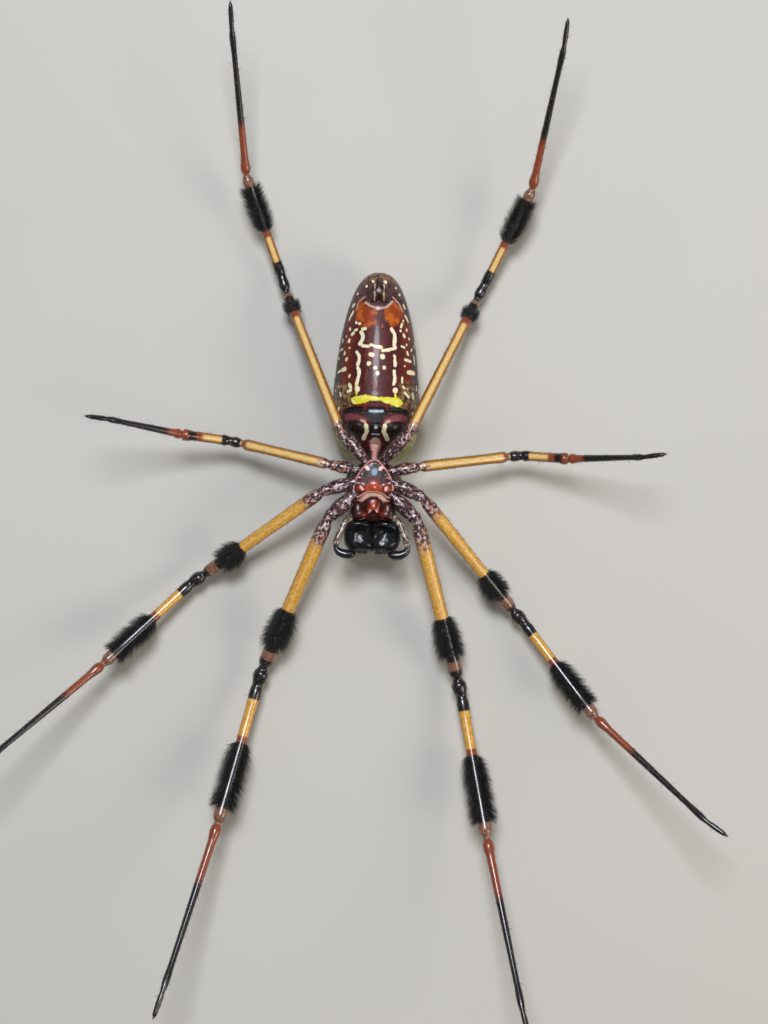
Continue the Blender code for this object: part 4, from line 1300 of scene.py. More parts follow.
        return {
            "ember": stroke_depth(spots, self.lines(EMBER_STREAKS)),
            "cream": cream,
            "butter": stroke_depth(spots, self.lines(YELLOW_BAND)),
            "black": np.maximum(stroke_depth(spots, self.lines(BLACK_MARKS)),
                                np.minimum(0.14 + lung, 0.12 - lung)),
            "orange": np.maximum(*flat) + 0.22,
            "pink": stroke_depth(spots, self.lines(PINK_AND_HIGHLIGHT_LINES)),
            "blush": np.maximum(stroke_depth(spots, self.lines(BLUSH_STROKES)),
                                0.9 - np.hypot(s - 0.1, (y - 0.95) * 1.4)),
            # silver: painted highlights of the light on the black middle.
            "silver": stroke_depth(spots, self.lines(HIGHLIGHT_STROKES)), "tip": y - 20.3,
            "lung": lung, "flank": size - 3.3, "margin": size - 5.0, "rump": rump, "tan": tan,
            "dorsum": np.minimum(size - 9.6, 3.0),
            "olive": np.minimum((size / wide - 0.90) * 4.5, 2.4 - y),
            "plate": np.minimum(np.minimum(4.35 - size, 4.75 - y), y - 0.7),
        }

    def build(self) -> None:
        """Make the skin and the sparse short hairs that stand on it."""
        rings, s, y = self.rings()
        skin = grid_skin(rings, place(0.0, self.front, self.axis_z - self.droop),
                         place(0.0, self.tail, 4.8))
        marks = self.marks(s.ravel(), y.ravel())
        skin.values = {name: np.append(v, [v[0], v[-1]]) for name, v in marks.items()}
        piece("abdomen_skin", skin, AbdomenCuticle().material(), ("abdomen",))
        draw = np.random.default_rng(SEED + 2)
        weight = (rings[:-1, :, 2] > 0.8).astype(float)
        roots = scatter(rings, self.hairs, draw, weight)
        hairs = roots.hairs(draw, 0.55, 0.85, 0.12, (0.20, 0.40), -roots.normals * 0.18,
                            radius=0.008, steps=(0.0, 0.5))
        finish = HairFinish("abdomen_down_hair", "#5A3A34", "#9A8478", "#3A2420")
        piece("abdomen_down", hairs.skin(draw), finish.material())


@dataclass
class Spinnerets:
    """The cluster of silk cones on a low mound before the tail."""

    y: float = 18.85
    level: float = 8.42
    length: float = 1.35
    radius: float = 0.50

    def cone(self, base: Array, way: Array, length: float, radius: float,
             pale: float) -> Skin:
        """Make one ringed cone, its outline bulging and its end blunt.

        The half width is the radius times a smooth curve of the share, with a ripple
        sin(14 * pi * share) of two hundredths for the rings.

        Args:
            base: Middle of its root.
            way: Where it points.
            length: Its length.
            radius: Its thickest half width.
            pale: How far its pale streak reaches, less than zero for none.

        Returns:
            The cone with the depth of its pale streak.
        """
        share = np.linspace(0.0, 1.0, 34)
        path = base + unit(way) * length * share[:, None]
        size = radius * spline(share, (0.0, 0.25, 0.6, 0.85, 1.0), (0.85, 1.0, 0.9, 0.62, 0.3))
        size = size * (1.0 + 0.02 * np.sin(14.0 * np.pi * share)) * round_ends(share, 1e-6, 0.15)
        rings = sweep(path, size, size, 24, (0.0, 1.0, 0.0))
        skin = grid_skin(rings, path[0], path[-1])
        across = np.abs(skin.points[:, 0] - base[0] - pale * 0.04)
        reach = along_points(share, 24)
        streak = np.where(pale > 0.0, 0.07 - across, -1.0)
        skin.values = {"pale": np.minimum(streak, 0.3 - 0.2 * np.abs(reach - 0.6) * 4.0),
                       "skin": np.full(len(skin.points), -1.0)}
        return skin

    def build(self) -> None:
        """Make the mound and its cones as one piece."""
        foot = place(0.0, self.y, self.level - 0.35)
        mound = ball(foot, (1.28, 1.50, 0.82), 22, 40)
        mound.values = {"pale": np.full(len(mound.points), -1.0),
                        "skin": np.full(len(mound.points), 1.0)}
        parts = [mound]
        for side in Side:
            s = side.value
            for dy, lean, size, pale in ((-0.70, 0.60, 1.05, 1.0), (0.45, 0.60, 0.85, 1.0)):
                base = place(s * 0.56, self.y + dy, self.level - 0.1 - 0.35 * dy)
                way = np.array([-s * 0.12, lean, 1.0])
                parts.append(self.cone(base, way, self.length * size, self.radius * size, pale))
        knob = self.cone(place(0.0, self.y + 1.25, self.level - 0.5),
                         np.array([0.0, 0.8, 0.75]), 0.85, 0.44, -1.0)
        knob.values["skin"] += 2.0
        parts.append(knob)
        parts.append(self.cone(place(0.06, self.y - 0.15, self.level + 0.30),
                               np.array([0.0, 0.5, 1.0]), 0.60, 0.24, 1.0))
        piece("spinneret_cones", Skin.join(parts), SpinneretSkin().material(),
              ("spinnerets",))


# Head and thorax


def plate_marks(count: int, **depths: Array) -> dict[str, Array]:
    """Name the depths of a plate's marks, as the plates' finish reads them.

    Args:
        count: How many points the plate has.
        depths: The marks that it has, by name.

    Returns:
        All six depths, a mark that the plate lacks lying outside at every point.
    """
    return {name: depths.get(name, np.full(count, -1.0))
            for name in ("rim", "deep", "blue", "black", "orange", "pale")}


@dataclass
class Prosoma:
    """The head and thorax: carapace, breastplate, lip, maxillae, waist and eyes."""

    back_y: float = -1.25
    front_y: float = -9.7
    stations: tuple = ((1.25, 1.25, 5.7, 6.5, 7.7), (1.9, 2.45, 4.8, 6.0, 8.2),
                       (3.5, 3.35, 4.0, 5.7, 8.5), (5.0, 3.25, 3.7, 5.6, 8.5),
                       (6.4, 2.75, 3.2, 5.4, 8.1), (7.6, 2.65, 2.8, 5.2, 7.4),
                       (8.8, 2.45, 2.85, 4.9, 6.6), (9.7, 1.95, 3.4, 4.7, 5.8))
    horn: tuple[float, float] = (0.75, -5.7)
    sternum_back: float = -0.75
    sternum_front: float = -5.55
    sternum_half: float = 2.45
    sternum_top: float = 8.75
    eye_radius: float = 0.27
    eye_rows: tuple = (("anterior_median", 0.52, -9.80, 3.75),
                       ("posterior_median", 0.68, -9.15, 2.95),
                       ("anterior_lateral", 1.88, -9.38, 3.85),
                       ("posterior_lateral", 2.12, -8.75, 3.62))
    hairs: int = 8500

    def carapace_rings(self) -> Array:
        """Work out the carapace's rings.

        A ring at y has a low half, an ellipse from the rim down to the back's height, and a
        high half that narrows to the breastplate. Both ends close as quarter ellipses. The
        back sinks by a Gaussian pit at its middle with shallow furrows out of it, and the
        two horns rise as narrow Gaussians.

        Returns:
            Rings of points from the waist to the face.
        """
        around, rows = 120, 120
        table = np.asarray(self.stations)
        y = np.linspace(self.back_y, self.front_y, rows)
        wide, back, rim, belly = spline(-y, table[:, 0], table[:, 1:]).T[:, :, None]
        a = 2.0 * np.pi * (np.arange(around) + 0.5) / around
        rise, across = np.sin(a), np.cos(a)
        core = np.minimum(wide, 2.3)
        half = wide + (core - wide) * np.maximum(rise, 0.0)
        bulge = np.where(rise < 0.0, across, np.sign(across) * np.abs(across) ** 0.6)
        x = half * bulge
        z = rim + np.where(rise < 0.0, rim - back, belly - rim) * rise
        low = np.maximum(-rise, 0.0)
        yy = y[:, None] + 0.0 * a
        z += low * 0.45 * np.exp(-((x / 0.35) ** 2 + ((yy + 3.6) / 0.7) ** 2))
        furrow = np.exp(-(((np.abs(x) - 0.55 * (-3.4 - yy) - 0.2) / 0.22) ** 2))
        z += low * 0.16 * furrow * ramp(-3.2, -4.0, yy) * ramp(-7.0, -6.0, yy)
        horn = np.exp(-(((np.abs(x) - self.horn[0]) / 0.26) ** 2
                        + ((yy - self.horn[1]) / 0.26) ** 2))
        z -= low * 0.62 * horn
        body = place(x, yy, z)
        t = (np.arange(14) + 0.5) / 14.5 * np.pi / 2.0
        caps = []
        for ring, middle, reach in ((body[0], place(0.0, self.back_y, 6.6), 0.25),
                                    (body[-1], place(0.0, self.front_y, 4.6), -0.42)):
            shrink = np.cos(t)[:, None, None]
            cap = middle + (ring - middle) * shrink
            cap[..., 1] = ring[:, 1] + reach * np.sin(t)[:, None]
            caps.append(cap)
        return np.concatenate([caps[0][::-1], body, caps[1]])

    def outline(self) -> Array:
        """Work out the breastplate's outline, a shield with its point at the back.

        Its half width rises as a sine's power from the point, narrows a little at the
        front corners, and the front edge is hollowed round the lip.

        Returns:
            The closed outline's points, sideways and along Y.
        """
        t = np.linspace(0.0, 1.0, 46)
        rise = np.sin(np.minimum(t / 0.78, 1.0) * np.pi / 2.0) ** 0.85
        half = 0.28 + (self.sternum_half - 0.28) * rise * (1.0 - 0.16 * ramp(0.78, 1.0, t))
        y = self.sternum_back + (self.sternum_front - self.sternum_back) * t
        u = np.linspace(0.0, 1.0, 22)[1:]
        hx = half[-1] * (1.0 - u)
        hy = self.sternum_front + 0.70 * ramp(0.05, 0.75, u)
        right = np.stack([np.append(half, hx), np.append(y, hy)], -1)
        left = right[::-1][1:] * (-1.0, 1.0)
        ring = np.concatenate([right, left[:-1]])
        for _ in range(3):
            ring = (np.roll(ring, 1, 0) + 2.0 * ring + np.roll(ring, -1, 0)) / 4.0
        return ring

    def sternum(self) -> Skin:
        """Make the breastplate with the colours of its marks.

        Rings are the outline drawn in by a share, each at a height that rounds the rim; the
        paired tubercles facing the second and third legs and the middle hump are Gaussians.

        Returns:
            The plate with its marks' depths.
        """
        edge = self.outline()
        middle = np.array([0.0, -3.4])
        share = np.array([0.55, 0.90, 1.0, 1.0, 0.985, 0.95] + list(np.linspace(0.90, 0.03, 30)))
        drop = np.array([0.62, 0.62, 0.55, 0.30, 0.16, 0.07] + [0.0] * 30)
        flat = middle + (edge - middle) * share[:, None, None]
        x, y = flat[..., 0], flat[..., 1]
        inner = share[:, None]
        z = self.sternum_top - drop[:, None] + 0.16 * (1.0 - inner ** 2)
        top = (drop[:, None] < 0.2)
        for cx, cy, r, tall in ((1.35, -4.35, 0.34, 0.22), (0.0, -4.2, 0.38, 0.20),
                                (1.75, -2.95, 0.28, 0.13), (1.15, -1.75, 0.26, 0.10)):
            near = np.exp(-(((np.abs(x) - cx) / r) ** 2 + ((y - cy) / r) ** 2))
            z = z + top * tall * near
        groove = bell(1.0 - inner, 0.10, 0.035)
        z = z - top * 0.05 * groove
        skin = grid_skin(place(x, y, z), place(0.0, -3.4, self.sternum_top - 0.62),
                         place(0.0, -3.4, self.sternum_top + 0.16))
        spots = np.concatenate([flat.reshape(-1, 2), [middle, middle]])
        inside = -stroke_depth(spots, ((0.0, tuple(map(tuple, np.vstack([edge, edge[:1]])))),))
        black = stroke_depth(spots, (
            (0.66, ((0.07, -2.35),)), (0.26, ((0.07, -1.15), (0.07, -1.7))),
            (0.36, ((-1.0, -2.60),)), (0.38, ((1.15, -2.70),)),
            (0.10, ((-1.75, -2.75), (-0.6, -3.10))), (0.10, ((0.7, -3.10), (1.9, -2.80))),
            (0.09, ((-0.75, -3.2), (-1.05, -4.4))), (0.09, ((0.85, -3.2), (1.15, -4.4)))))
        skin.values = plate_marks(
            len(spots), rim=0.19 - inside, deep=0.10 - np.abs(inside - 0.55), black=black,
            orange=stroke_depth(spots, ((0.60, ((0.08, -4.1),)),
                                        (0.34, ((-1.5, -4.3), (1.6, -4.3))))),
            # A painted reflection of the light in the black middle.
            blue=stroke_depth(spots, ((0.36, ((0.07, -2.25), (0.07, -2.45))),)),
            # The pale spots on the three tubercles at the front are painted highlights; the thin
            # lines are the plate's own pale marks.
            pale=stroke_depth(spots, (
                (0.20, ((-0.90, -1.86), (-0.68, -2.02))), (0.20, ((0.72, -2.02), (0.94, -1.86))),
                (0.06, ((-2.0, -3.05), (-1.5, -3.1))), (0.06, ((1.5, -3.1), (2.1, -2.95))),
                (0.05, ((-2.1, -3.7), (-1.7, -3.75))), (0.05, ((1.75, -3.7), (2.2, -3.6))),
                (0.13, ((-1.3, -4.5), (-1.5, -4.2))), (0.13, ((1.45, -4.5), (1.55, -4.2))),
                (0.06, ((0.05, -3.75),)), (0.07, ((0.15, -4.2),)))))
        return skin

    def mouth(self) -> list[Skin]:
        """Make the lip, the two maxillae and the soft skin that they are set in.

        The lip and maxillae are ellipses carried along short paths, and the soft skin is a
        flat ellipsoid under them.

        Returns:
            Four skins with their marks' depths.
        """
        lip, _ = tube((0.0, 0.36, 0.72, 1.0), place(np.zeros(4), np.array(
            [-5.2, -6.1, -6.9, -7.5]), np.array([8.10, 8.15, 8.12, 8.0])),
            (0.95, 1.05, 0.86, 0.60), (0.42, 0.54, 0.50, 0.34), 60, 48, ends=(0.25, 0.30))
        x, y = lip.points[:, 0], lip.points[:, 1] + REST_FROM_WAIST
        spots = np.stack([x, y], -1)
        lip.values = plate_marks(
            len(x), deep=np.maximum(y + 5.75, np.abs(x - 0.05) - 0.70),
            orange=stroke_depth(spots, ((0.26, ((0.08, -5.95), (0.08, -6.6))),
                                        (0.16, ((-0.4, -6.9), (0.1, -6.6), (0.55, -6.9))))),
            black=stroke_depth(spots, ((0.15, ((-0.05, -7.1), (0.22, -7.1))),)),
            # The pale dot in the orange middle is a painted highlight; the pale V of the margins
            # is the lip's own.
            pale=stroke_depth(spots, (
                (0.12, ((0.08, -6.38),)), (0.05, ((0.08, -5.75),)),
                (0.08, ((-0.28, -6.95), (-0.62, -7.40))), (0.08, ((0.42, -6.95), (0.72, -7.40))),
                (0.06, ((-0.2, -7.55), (0.35, -7.55))))))
        parts = [lip]
        for side in Side:
            s = side.value
            path = place(s * np.array([1.66, 1.76, 1.73, 1.52, 1.44]),
                         np.array([-5.85, -6.5, -7.2, -7.75, -8.10]),
                         np.array([7.75, 7.75, 7.75, 7.75, 7.70]))
            lobe, _ = tube((0.0, 0.28, 0.60, 0.84, 1.0), path, (0.55, 0.74, 0.93, 1.08, 0.88),
                           (0.47, 0.68, 0.76, 0.72, 0.42), 60, 48, ends=(0.2, 0.22))
            x, y = lobe.points[:, 0], lobe.points[:, 1] + REST_FROM_WAIST
            tip = stroke_depth(np.stack([s * x, y], -1), ((0.16, ((0.95, -8.0), (1.5, -8.25))),))
            lobe.values = plate_marks(len(x), deep=s * x - 1.55, black=s * x - 2.30, pale=tip)
            parts.append(lobe)
        tissue = ball(place(0.0, -6.35, 7.35), (2.35, 2.0, 0.80), 26, 56)
        x, y = tissue.points[:, 0], tissue.points[:, 1] + REST_FROM_WAIST
        spots = np.stack([x, y], -1)
        tissue.values = plate_marks(len(x), deep=-5.6 - y, rim=stroke_depth(spots, (
            (0.26, ((-1.75, -5.75), (-0.8, -5.15))), (0.26, ((1.8, -5.75), (0.85, -5.15))),
            (0.16, ((-0.8, -5.1), (0.0, -4.95), (0.8, -5.1))))))
        return [*parts, tissue]

    def waist(self) -> Skin:
        """Make the waist, a short ribbed tube between thorax and abdomen.

        Returns:
            The tube with the depths of its colours.
        """
        share = np.linspace(0.0, 1.0, 40)
        path = place(np.zeros(40), -2.1 + 3.6 * share, WAIST_Z - 0.2 + 0.36 * share)
        size = 0.50 * (1.0 - 0.02 * np.cos(14.0 * np.pi * share))
        skin = grid_skin(sweep(path, size, size, 28), path[0], path[-1])
        off, along = np.abs(skin.points[:, 0]), skin.points[:, 1] + REST_FROM_WAIST
        skin.values = plate_marks(len(off), rim=0.07 - 0.25 * off, deep=off - 0.30,
                                  black=off - 0.42, pale=0.10 - 0.22 * np.abs(along - 0.9))
        return skin

    def eyes(self) -> Skin:
        """Make the eight eyes, smooth balls set in the head.

        Returns:
            One skin of eight balls.
        """
        half = (self.eye_radius, self.eye_radius, self.eye_radius)
        return Skin.join([ball(place(side.value * x, y, z), half, 15, 24)
                          for _, x, y, z in self.eye_rows for side in Side])

    def build(self) -> None:
        """Make the head and thorax with all that is set in them."""
        rings = self.carapace_rings()
        shell = grid_skin(rings, place(0.0, self.back_y + 0.26, 6.6),
                          place(0.0, self.front_y - 0.43, 4.6))
        spots = shell.points[:, :2] + (0.0, REST_FROM_WAIST)
        under = shell.points[:, 2] - 7.7
        pale = stroke_depth(spots, ((0.34, ((-1.85, -5.75), (-0.8, -5.25))),
                                    (0.34, ((1.95, -5.75), (0.85, -5.25))),
                                    (0.20, ((-0.8, -5.15), (0.0, -5.0), (0.8, -5.15)))))
        shell.values = {"belly": under, "pale": np.minimum(pale, under)}
        piece("carapace_shell", shell, CarapaceChitin().material(),
              ("carapace",))
        draw = np.random.default_rng(SEED + 3)
        low = rings[:-1, :, 2] < 6.3
        face = rings[:-1, :, 1] + REST_FROM_WAIST < -9.2
        weight = np.where(low, np.where(face, 0.04, 1.0), 0.005)
        roots = scatter(rings, self.hairs, draw, weight)
        hairs = roots.hairs(draw, 0.35, -0.8, 0.22, (0.32, 0.62), -roots.normals * 0.15,
                            radius=0.020, steps=(0.0, 0.5))
        silver = HairFinish("silver_carapace_hair", "#A3A29B", "#E2E3DF", "#B3AB98", sheen=0.6)
        piece("carapace_coat", hairs.skin(draw), silver.material())
        plates = PlateChitin().material()
        piece("breastplate", self.sternum(), plates, ("sternum",))
        lip, left, right, tissue = self.mouth()
        piece("mouth_tissue", tissue, plates)
        piece("lip_plate", lip, plates, ("labium",))
        piece("maxillae", Skin.join([left, right]), plates,
              ("endite_left", "endite_right"))
        piece("waist_tube", self.waist(), plates, ("pedicel",))
        names = tuple(f"eye_{row[0]}_{side.word}" for row in self.eye_rows for side in Side)
        piece("eyes", self.eyes(), PolishedChitin("spider_eye_lens").material(),
              names)


@dataclass
class Jaw:
    """One chelicera with its folded fang, its teeth and a few stiff hairs."""

    side: Side
    x: float = 1.45
    gap: float = -0.03
    middle: float = -10.1
    long_hairs: int = 150
    close_hairs: int = 1500

    def body(self) -> tuple[Skin, Array]:
        """Make the stout, glossy basal joint, flattened where it meets its twin.

        Seen from below the round outline is squared by 1 / (|cos|^3 + |sin|^3)^(1/3) of the
        angle about its middle, and the inner side is held off the middle plane by the soft
        maximum of x and the gap.

        Returns:
            The skin and its rings.
        """
        s = self.side.value
        y = np.array([-9.45, -9.80, -10.20, -10.15, -9.80, -9.50])
        z = np.array([4.80, 5.40, 6.30, 7.20, 7.95, 8.48])
        skin, rings = tube((0.0, 0.17, 0.42, 0.67, 0.86, 1.0), place(s * self.x + 0.0 * y, y, z),
                           (1.00, 1.38, 1.66, 1.82, 1.68, 1.20),
                           (0.75, 1.18, 1.62, 1.90, 1.80, 1.25), 90, 80, (0.0, -1.0, 0.0),
                           ends=(0.10, 0.16))
        for points in (skin.points, rings):
            off = points[..., :2] - (s * self.x, self.middle - REST_FROM_WAIST)
            share = np.abs(off) / np.maximum(np.linalg.norm(off, axis=-1, keepdims=True), 1e-6)
            points[..., :2] += off * ((share ** 3).sum(-1, keepdims=True) ** (-1 / 3) - 1.0)
            ahead = self.middle - REST_FROM_WAIST - points[..., 1]
            front = np.clip(ahead / 1.9, 0.0, 1.3)
            points[..., 0] -= s * 0.42 * front ** 2
            inner = s * points[..., 0] - self.gap
            points[..., 0] = s * (self.gap + 0.5 * (inner + np.sqrt(inner ** 2 + 0.09 ** 2)))
        return skin, rings

    def fang(self) -> Skin:
        """Make the fang, a tapering hook that folds inward over the jaw's end.

        Returns:
            The fang.
        """
        s = self.side.value
        path = place(s * np.array([2.70, 2.20, 1.50, 0.92, 0.42]),
                     np.array([-9.15, -8.75, -8.58, -8.62, -8.76]),
                     np.array([8.20, 8.52, 8.66, 8.62, 8.52]))
        sizes = (0.44, 0.38, 0.29, 0.19, 0.05)
        skin, _ = tube((0.0, 0.28, 0.56, 0.80, 1.0), path, sizes, sizes, 60, 24,
                       (0.0, 1.0, 0.0), ends=(0.10, 0.03))
        return skin

    def teeth(self) -> Skin:
        """Make three blunt teeth on the edge of the groove that the fang lies in.

        Each is a cone whose half width falls as (1 - t) to the power 0.7.

        Returns:
            The teeth as one skin.
        """
        s = self.side.value
        cones = []
        for x, tall in ((1.05, 0.34), (1.55, 0.40), (2.05, 0.34)):
            base = place(s * x, -9.12, 8.30)
            share = np.linspace(0.0, 1.0, 12)
            size = 0.16 * (1.0 - share) ** 0.7
            path = base + share[:, None] * np.array([0.0, 0.06, tall])
            rings = sweep(path, size + 0.004, size + 0.004, 10, (0.0, 1.0, 0.0))
            cones.append(grid_skin(rings, path[0], path[-1]))
        return Skin.join(cones)

    def build(self, black: bpy.types.Material, bristle: bpy.types.Material) -> None:
        """Make the jaw, its fang and its hairs.

        Args:
            black: Finish of the jaw and fang.
            bristle: Finish of the hairs.
        """
        skin, rings = self.body()
        word = self.side.word
        piece(f"jaw_{word}", skin, black, (f"chelicera_{word}",))
        piece(f"fang_hook_{word}", Skin.join([self.fang(), self.teeth()]), black,
              (f"fang_{word}",))
        draw = self.side.draws(40)
        count = self.long_hairs
        inner = np.abs(rings[:-1, :, 0]) > 0.5
        front = ramp(-15.6, -17.6, rings[:-1, :, 1]) + 0.06
        roots = scatter(rings, count, draw, inner * front)
        way = roots.normals * 0.8 + draw.normal(0.0, 0.20, (count, 3)) + (0.0, 0.0, 0.25)
        hairs = Hairs(roots.spots - roots.normals * 0.02, way, draw.uniform(0.2, 0.7, count),
                      draw.normal(0.0, 0.08, (count, 3)), roots.charts, radius=0.011)
        steep = ramp(8.35, 7.9, rings[:-1, :, 2]) * ramp(5.6, 6.8, rings[:-1, :, 2])
        roots = scatter(rings, self.close_hairs, draw, inner * steep)
        close = roots.hairs(draw, 0.22, 1.0, 0.10, (0.3, 0.5), -roots.normals * 0.12, 0.01,
                            radius=0.024)
        piece(f"jaw_hairs_{word}", Skin.join([hairs.skin(draw), close.skin(draw)]), bristle)


@dataclass
class Palp:
    """One palp, a short feeler that curves round the jaw."""

    side: Side
    route: tuple = ((2.30, -7.60, 7.75), (3.15, -8.35, 8.15), (3.75, -9.60, 8.45),
                    (4.22, -10.85, 8.50), (4.26, -11.40, 8.45), (4.02, -11.84, 8.42),
                    (3.55, -12.12, 8.40), (2.95, -12.24, 8.38), (2.40, -12.20, 8.35),
                    (1.92, -12.06, 8.32))
    sizes: tuple = (0.34, 0.40, 0.36, 0.40, 0.30, 0.42, 0.50, 0.53, 0.48, 0.30)
    hairs: int = 330

    def build(self, bristle: bpy.types.Material, finish: bpy.types.Material) -> None:
        """Make the palp and the hairs on it.

        Args:
            bristle: Finish of the hairs.
            finish: Finish of the palp.
        """
        s = self.side.value
        points = place(*(np.array(self.route) * (s, 1.0, 1.0)).T)
        run = np.linalg.norm(np.diff(points, axis=0), axis=1)
        stops = np.append(0.0, np.cumsum(run)) / run.sum()
        skin, rings = tube(stops, points, self.sizes, self.sizes, 130, 28, ends=(0.02, 0.06))
        shares = (1.0 - np.cos(np.pi * (np.arange(130) + 0.5) / 130)) / 2.0
        length = float(run.sum())
        knee = float(stops[4])
        skin.values = {"black": along_points((shares - knee) * length + 0.25, 28)}
        word = self.side.word
        piece(f"palp_skin_{word}", skin, finish,
              (f"palp_{word}", f"palp_tarsus_{word}"))
        draw = self.side.draws(50)
        weight = 0.35 + 0.9 * (shares[:-1, None] > knee) + np.zeros((129, 28))
        roots = scatter(rings, self.hairs, draw, weight)
        hairs = roots.hairs(draw, 0.7, 0.7, 0.12, (0.16, 0.36), roots.ahead * 0.1,
                            radius=0.011)
        piece(f"palp_hairs_{word}", hairs.skin(draw), bristle)


# Legs


class Part(Enum):
    """The segments of a leg from the body to the tip."""

    COXA = 0
    FEMUR = 1
    PATELLA = 2
    TIBIA = 3
    METATARSUS = 4
    TARSUS = 5


@dataclass(frozen=True)
class Tuft:
    """A sleeve of bristles on a segment: its span, its hairs and their length."""

    part: Part
    start: float
    end: float
    count: int
    length: float
    bare_top: float


@dataclass(frozen=True)
class LegPlan:
    """Sizes of one pair of legs, segment by segment."""

    number: int
    lengths: tuple[float, ...]
    root: tuple[float, float, float]
    rise: tuple[float, ...]
    left: tuple[float, ...]
    right: tuple[float, ...]
    girth: tuple[float, ...]
    tufts: tuple[Tuft, ...]
    black: tuple[tuple[Part, float, float, float], ...]
    rust: tuple[tuple[Part, float, float, float], ...]
    tan: tuple[tuple[Part, float, float, float], ...]
    mottle_end: float
    flank: float


# Short names for the two tables below. Bands are a segment, the shares of its length where
# the band starts and ends, and how wide its blurred edge is.
F, P, T, M, S = Part.FEMUR, Part.PATELLA, Part.TIBIA, Part.METATARSUS, Part.TARSUS
PLANS = (
    LegPlan(1, (3.8, 20.6, 2.0, 17.3, 21.1, 3.2), (2.55, -5.35, 8.0),
            (-1.5, -14.5, -3.0, 12.0, 22.0, 14.5), (46.5, 22.0, 17.0, 14.0, 16.0, 17.0),
            (46.5, 16.0, 15.5, 11.5, 13.0, 15.5), (0.98, 0.88, 0.90, 0.68, 0.85, 0.52, 0.34),
            (Tuft(F, 0.605, 0.835, 2000, 1.62, 0.35), Tuft(T, 0.42, 0.875, 2700, 1.70, 0.74)),
            ((F, 0.605, 0.875, 0.3), (P, 0.05, 1.3, 0.2), (T, -0.2, 0.115, 0.3),
             (T, 0.43, 0.905, 0.3), (M, 0.36, 1.3, 2.5), (S, -0.5, 1.5, 0.3)),
            ((T, 0.385, 0.44, 0.4), (M, -0.02, 0.42, 0.4)),
            ((F, 0.86, 1.02, 0.3), (T, 0.895, 1.02, 0.3)), 0.17, 0.92),
    LegPlan(2, (3.4, 18.5, 1.9, 14.3, 18.6, 2.9), (2.80, -3.75, 8.0),
            (1.5, -17.0, -3.0, 13.5, 26.0, 16.0), (72.0, 53.5, 54.5, 45.5, 48.0, 51.0),
            (64.0, 40.5, 44.0, 38.5, 48.5, 56.5), (0.90, 0.78, 0.82, 0.62, 0.76, 0.48, 0.32),
            (Tuft(F, 0.665, 0.83, 1500, 1.52, 0.35), Tuft(T, 0.43, 0.865, 2200, 1.58, 0.74)),
            ((F, 0.665, 0.875, 0.3), (P, 0.05, 1.3, 0.2), (T, -0.2, 0.13, 0.3),
             (T, 0.44, 0.90, 0.3), (M, 0.34, 1.3, 2.5), (S, -0.5, 1.5, 0.3)),
            ((T, 0.39, 0.45, 0.4), (M, -0.02, 0.42, 0.4)),
            ((F, 0.86, 1.02, 0.3), (T, 0.885, 1.02, 0.3)), 0.15, 0.92),
    LegPlan(3, (2.9, 11.4, 1.8, 5.8, 10.4, 2.7), (2.40, -2.15, 8.1),
            (6.0, -16.5, 0.0, 24.0, 38.0, 21.5), (100.0, 102.0, 100.5, 95.5, 99.5, 95.5),
            (100.0, 98.5, 95.5, 87.0, 92.0, 99.0), (0.76, 0.66, 0.62, 0.58, 0.58, 0.46, 0.30),
            (),
            ((P, 0.1, 0.95, 0.3), (T, -0.05, 0.16, 0.3), (T, 0.72, 0.90, 0.8),
             (M, 0.22, 1.3, 1.2), (S, -0.5, 1.5, 0.3)),
            ((F, 0.93, 1.0, 0.5), (T, 0.58, 1.05, 0.8), (M, -0.05, 0.30, 0.6)),
            ((F, 0.955, 1.0, 0.3),), 0.10, 0.62),
    LegPlan(4, (4.4, 19.9, 2.1, 12.7, 18.0, 3.1), (1.45, -0.65, 8.2),
            (28.0, -22.0, -2.5, 14.0, 28.0, 15.0), (138.0, 157.0, 162.0, 159.0, 174.0, 176.0),
            (138.0, 155.0, 153.5, 155.0, 170.0, 174.0),
            (0.86, 0.64, 0.64, 0.55, 0.64, 0.46, 0.30),
            (Tuft(F, 0.835, 0.91, 560, 0.95, 0.80), Tuft(T, 0.44, 0.865, 1800, 1.42, 0.70)),
            ((F, 0.84, 0.95, 0.4), (P, 0.05, 1.3, 0.2), (T, -0.2, 0.14, 0.4),
             (T, 0.45, 0.90, 0.3), (M, 0.36, 1.3, 2.5), (S, -0.5, 1.5, 0.3)),
            ((F, 0.80, 0.86, 0.5), (T, 0.39, 0.46, 0.4), (T, 0.90, 1.02, 0.3),
             (M, -0.02, 0.42, 0.4)),
            ((F, 0.935, 1.02, 0.3), (T, 0.90, 1.02, 0.3)), 0.06, 0.60),
)
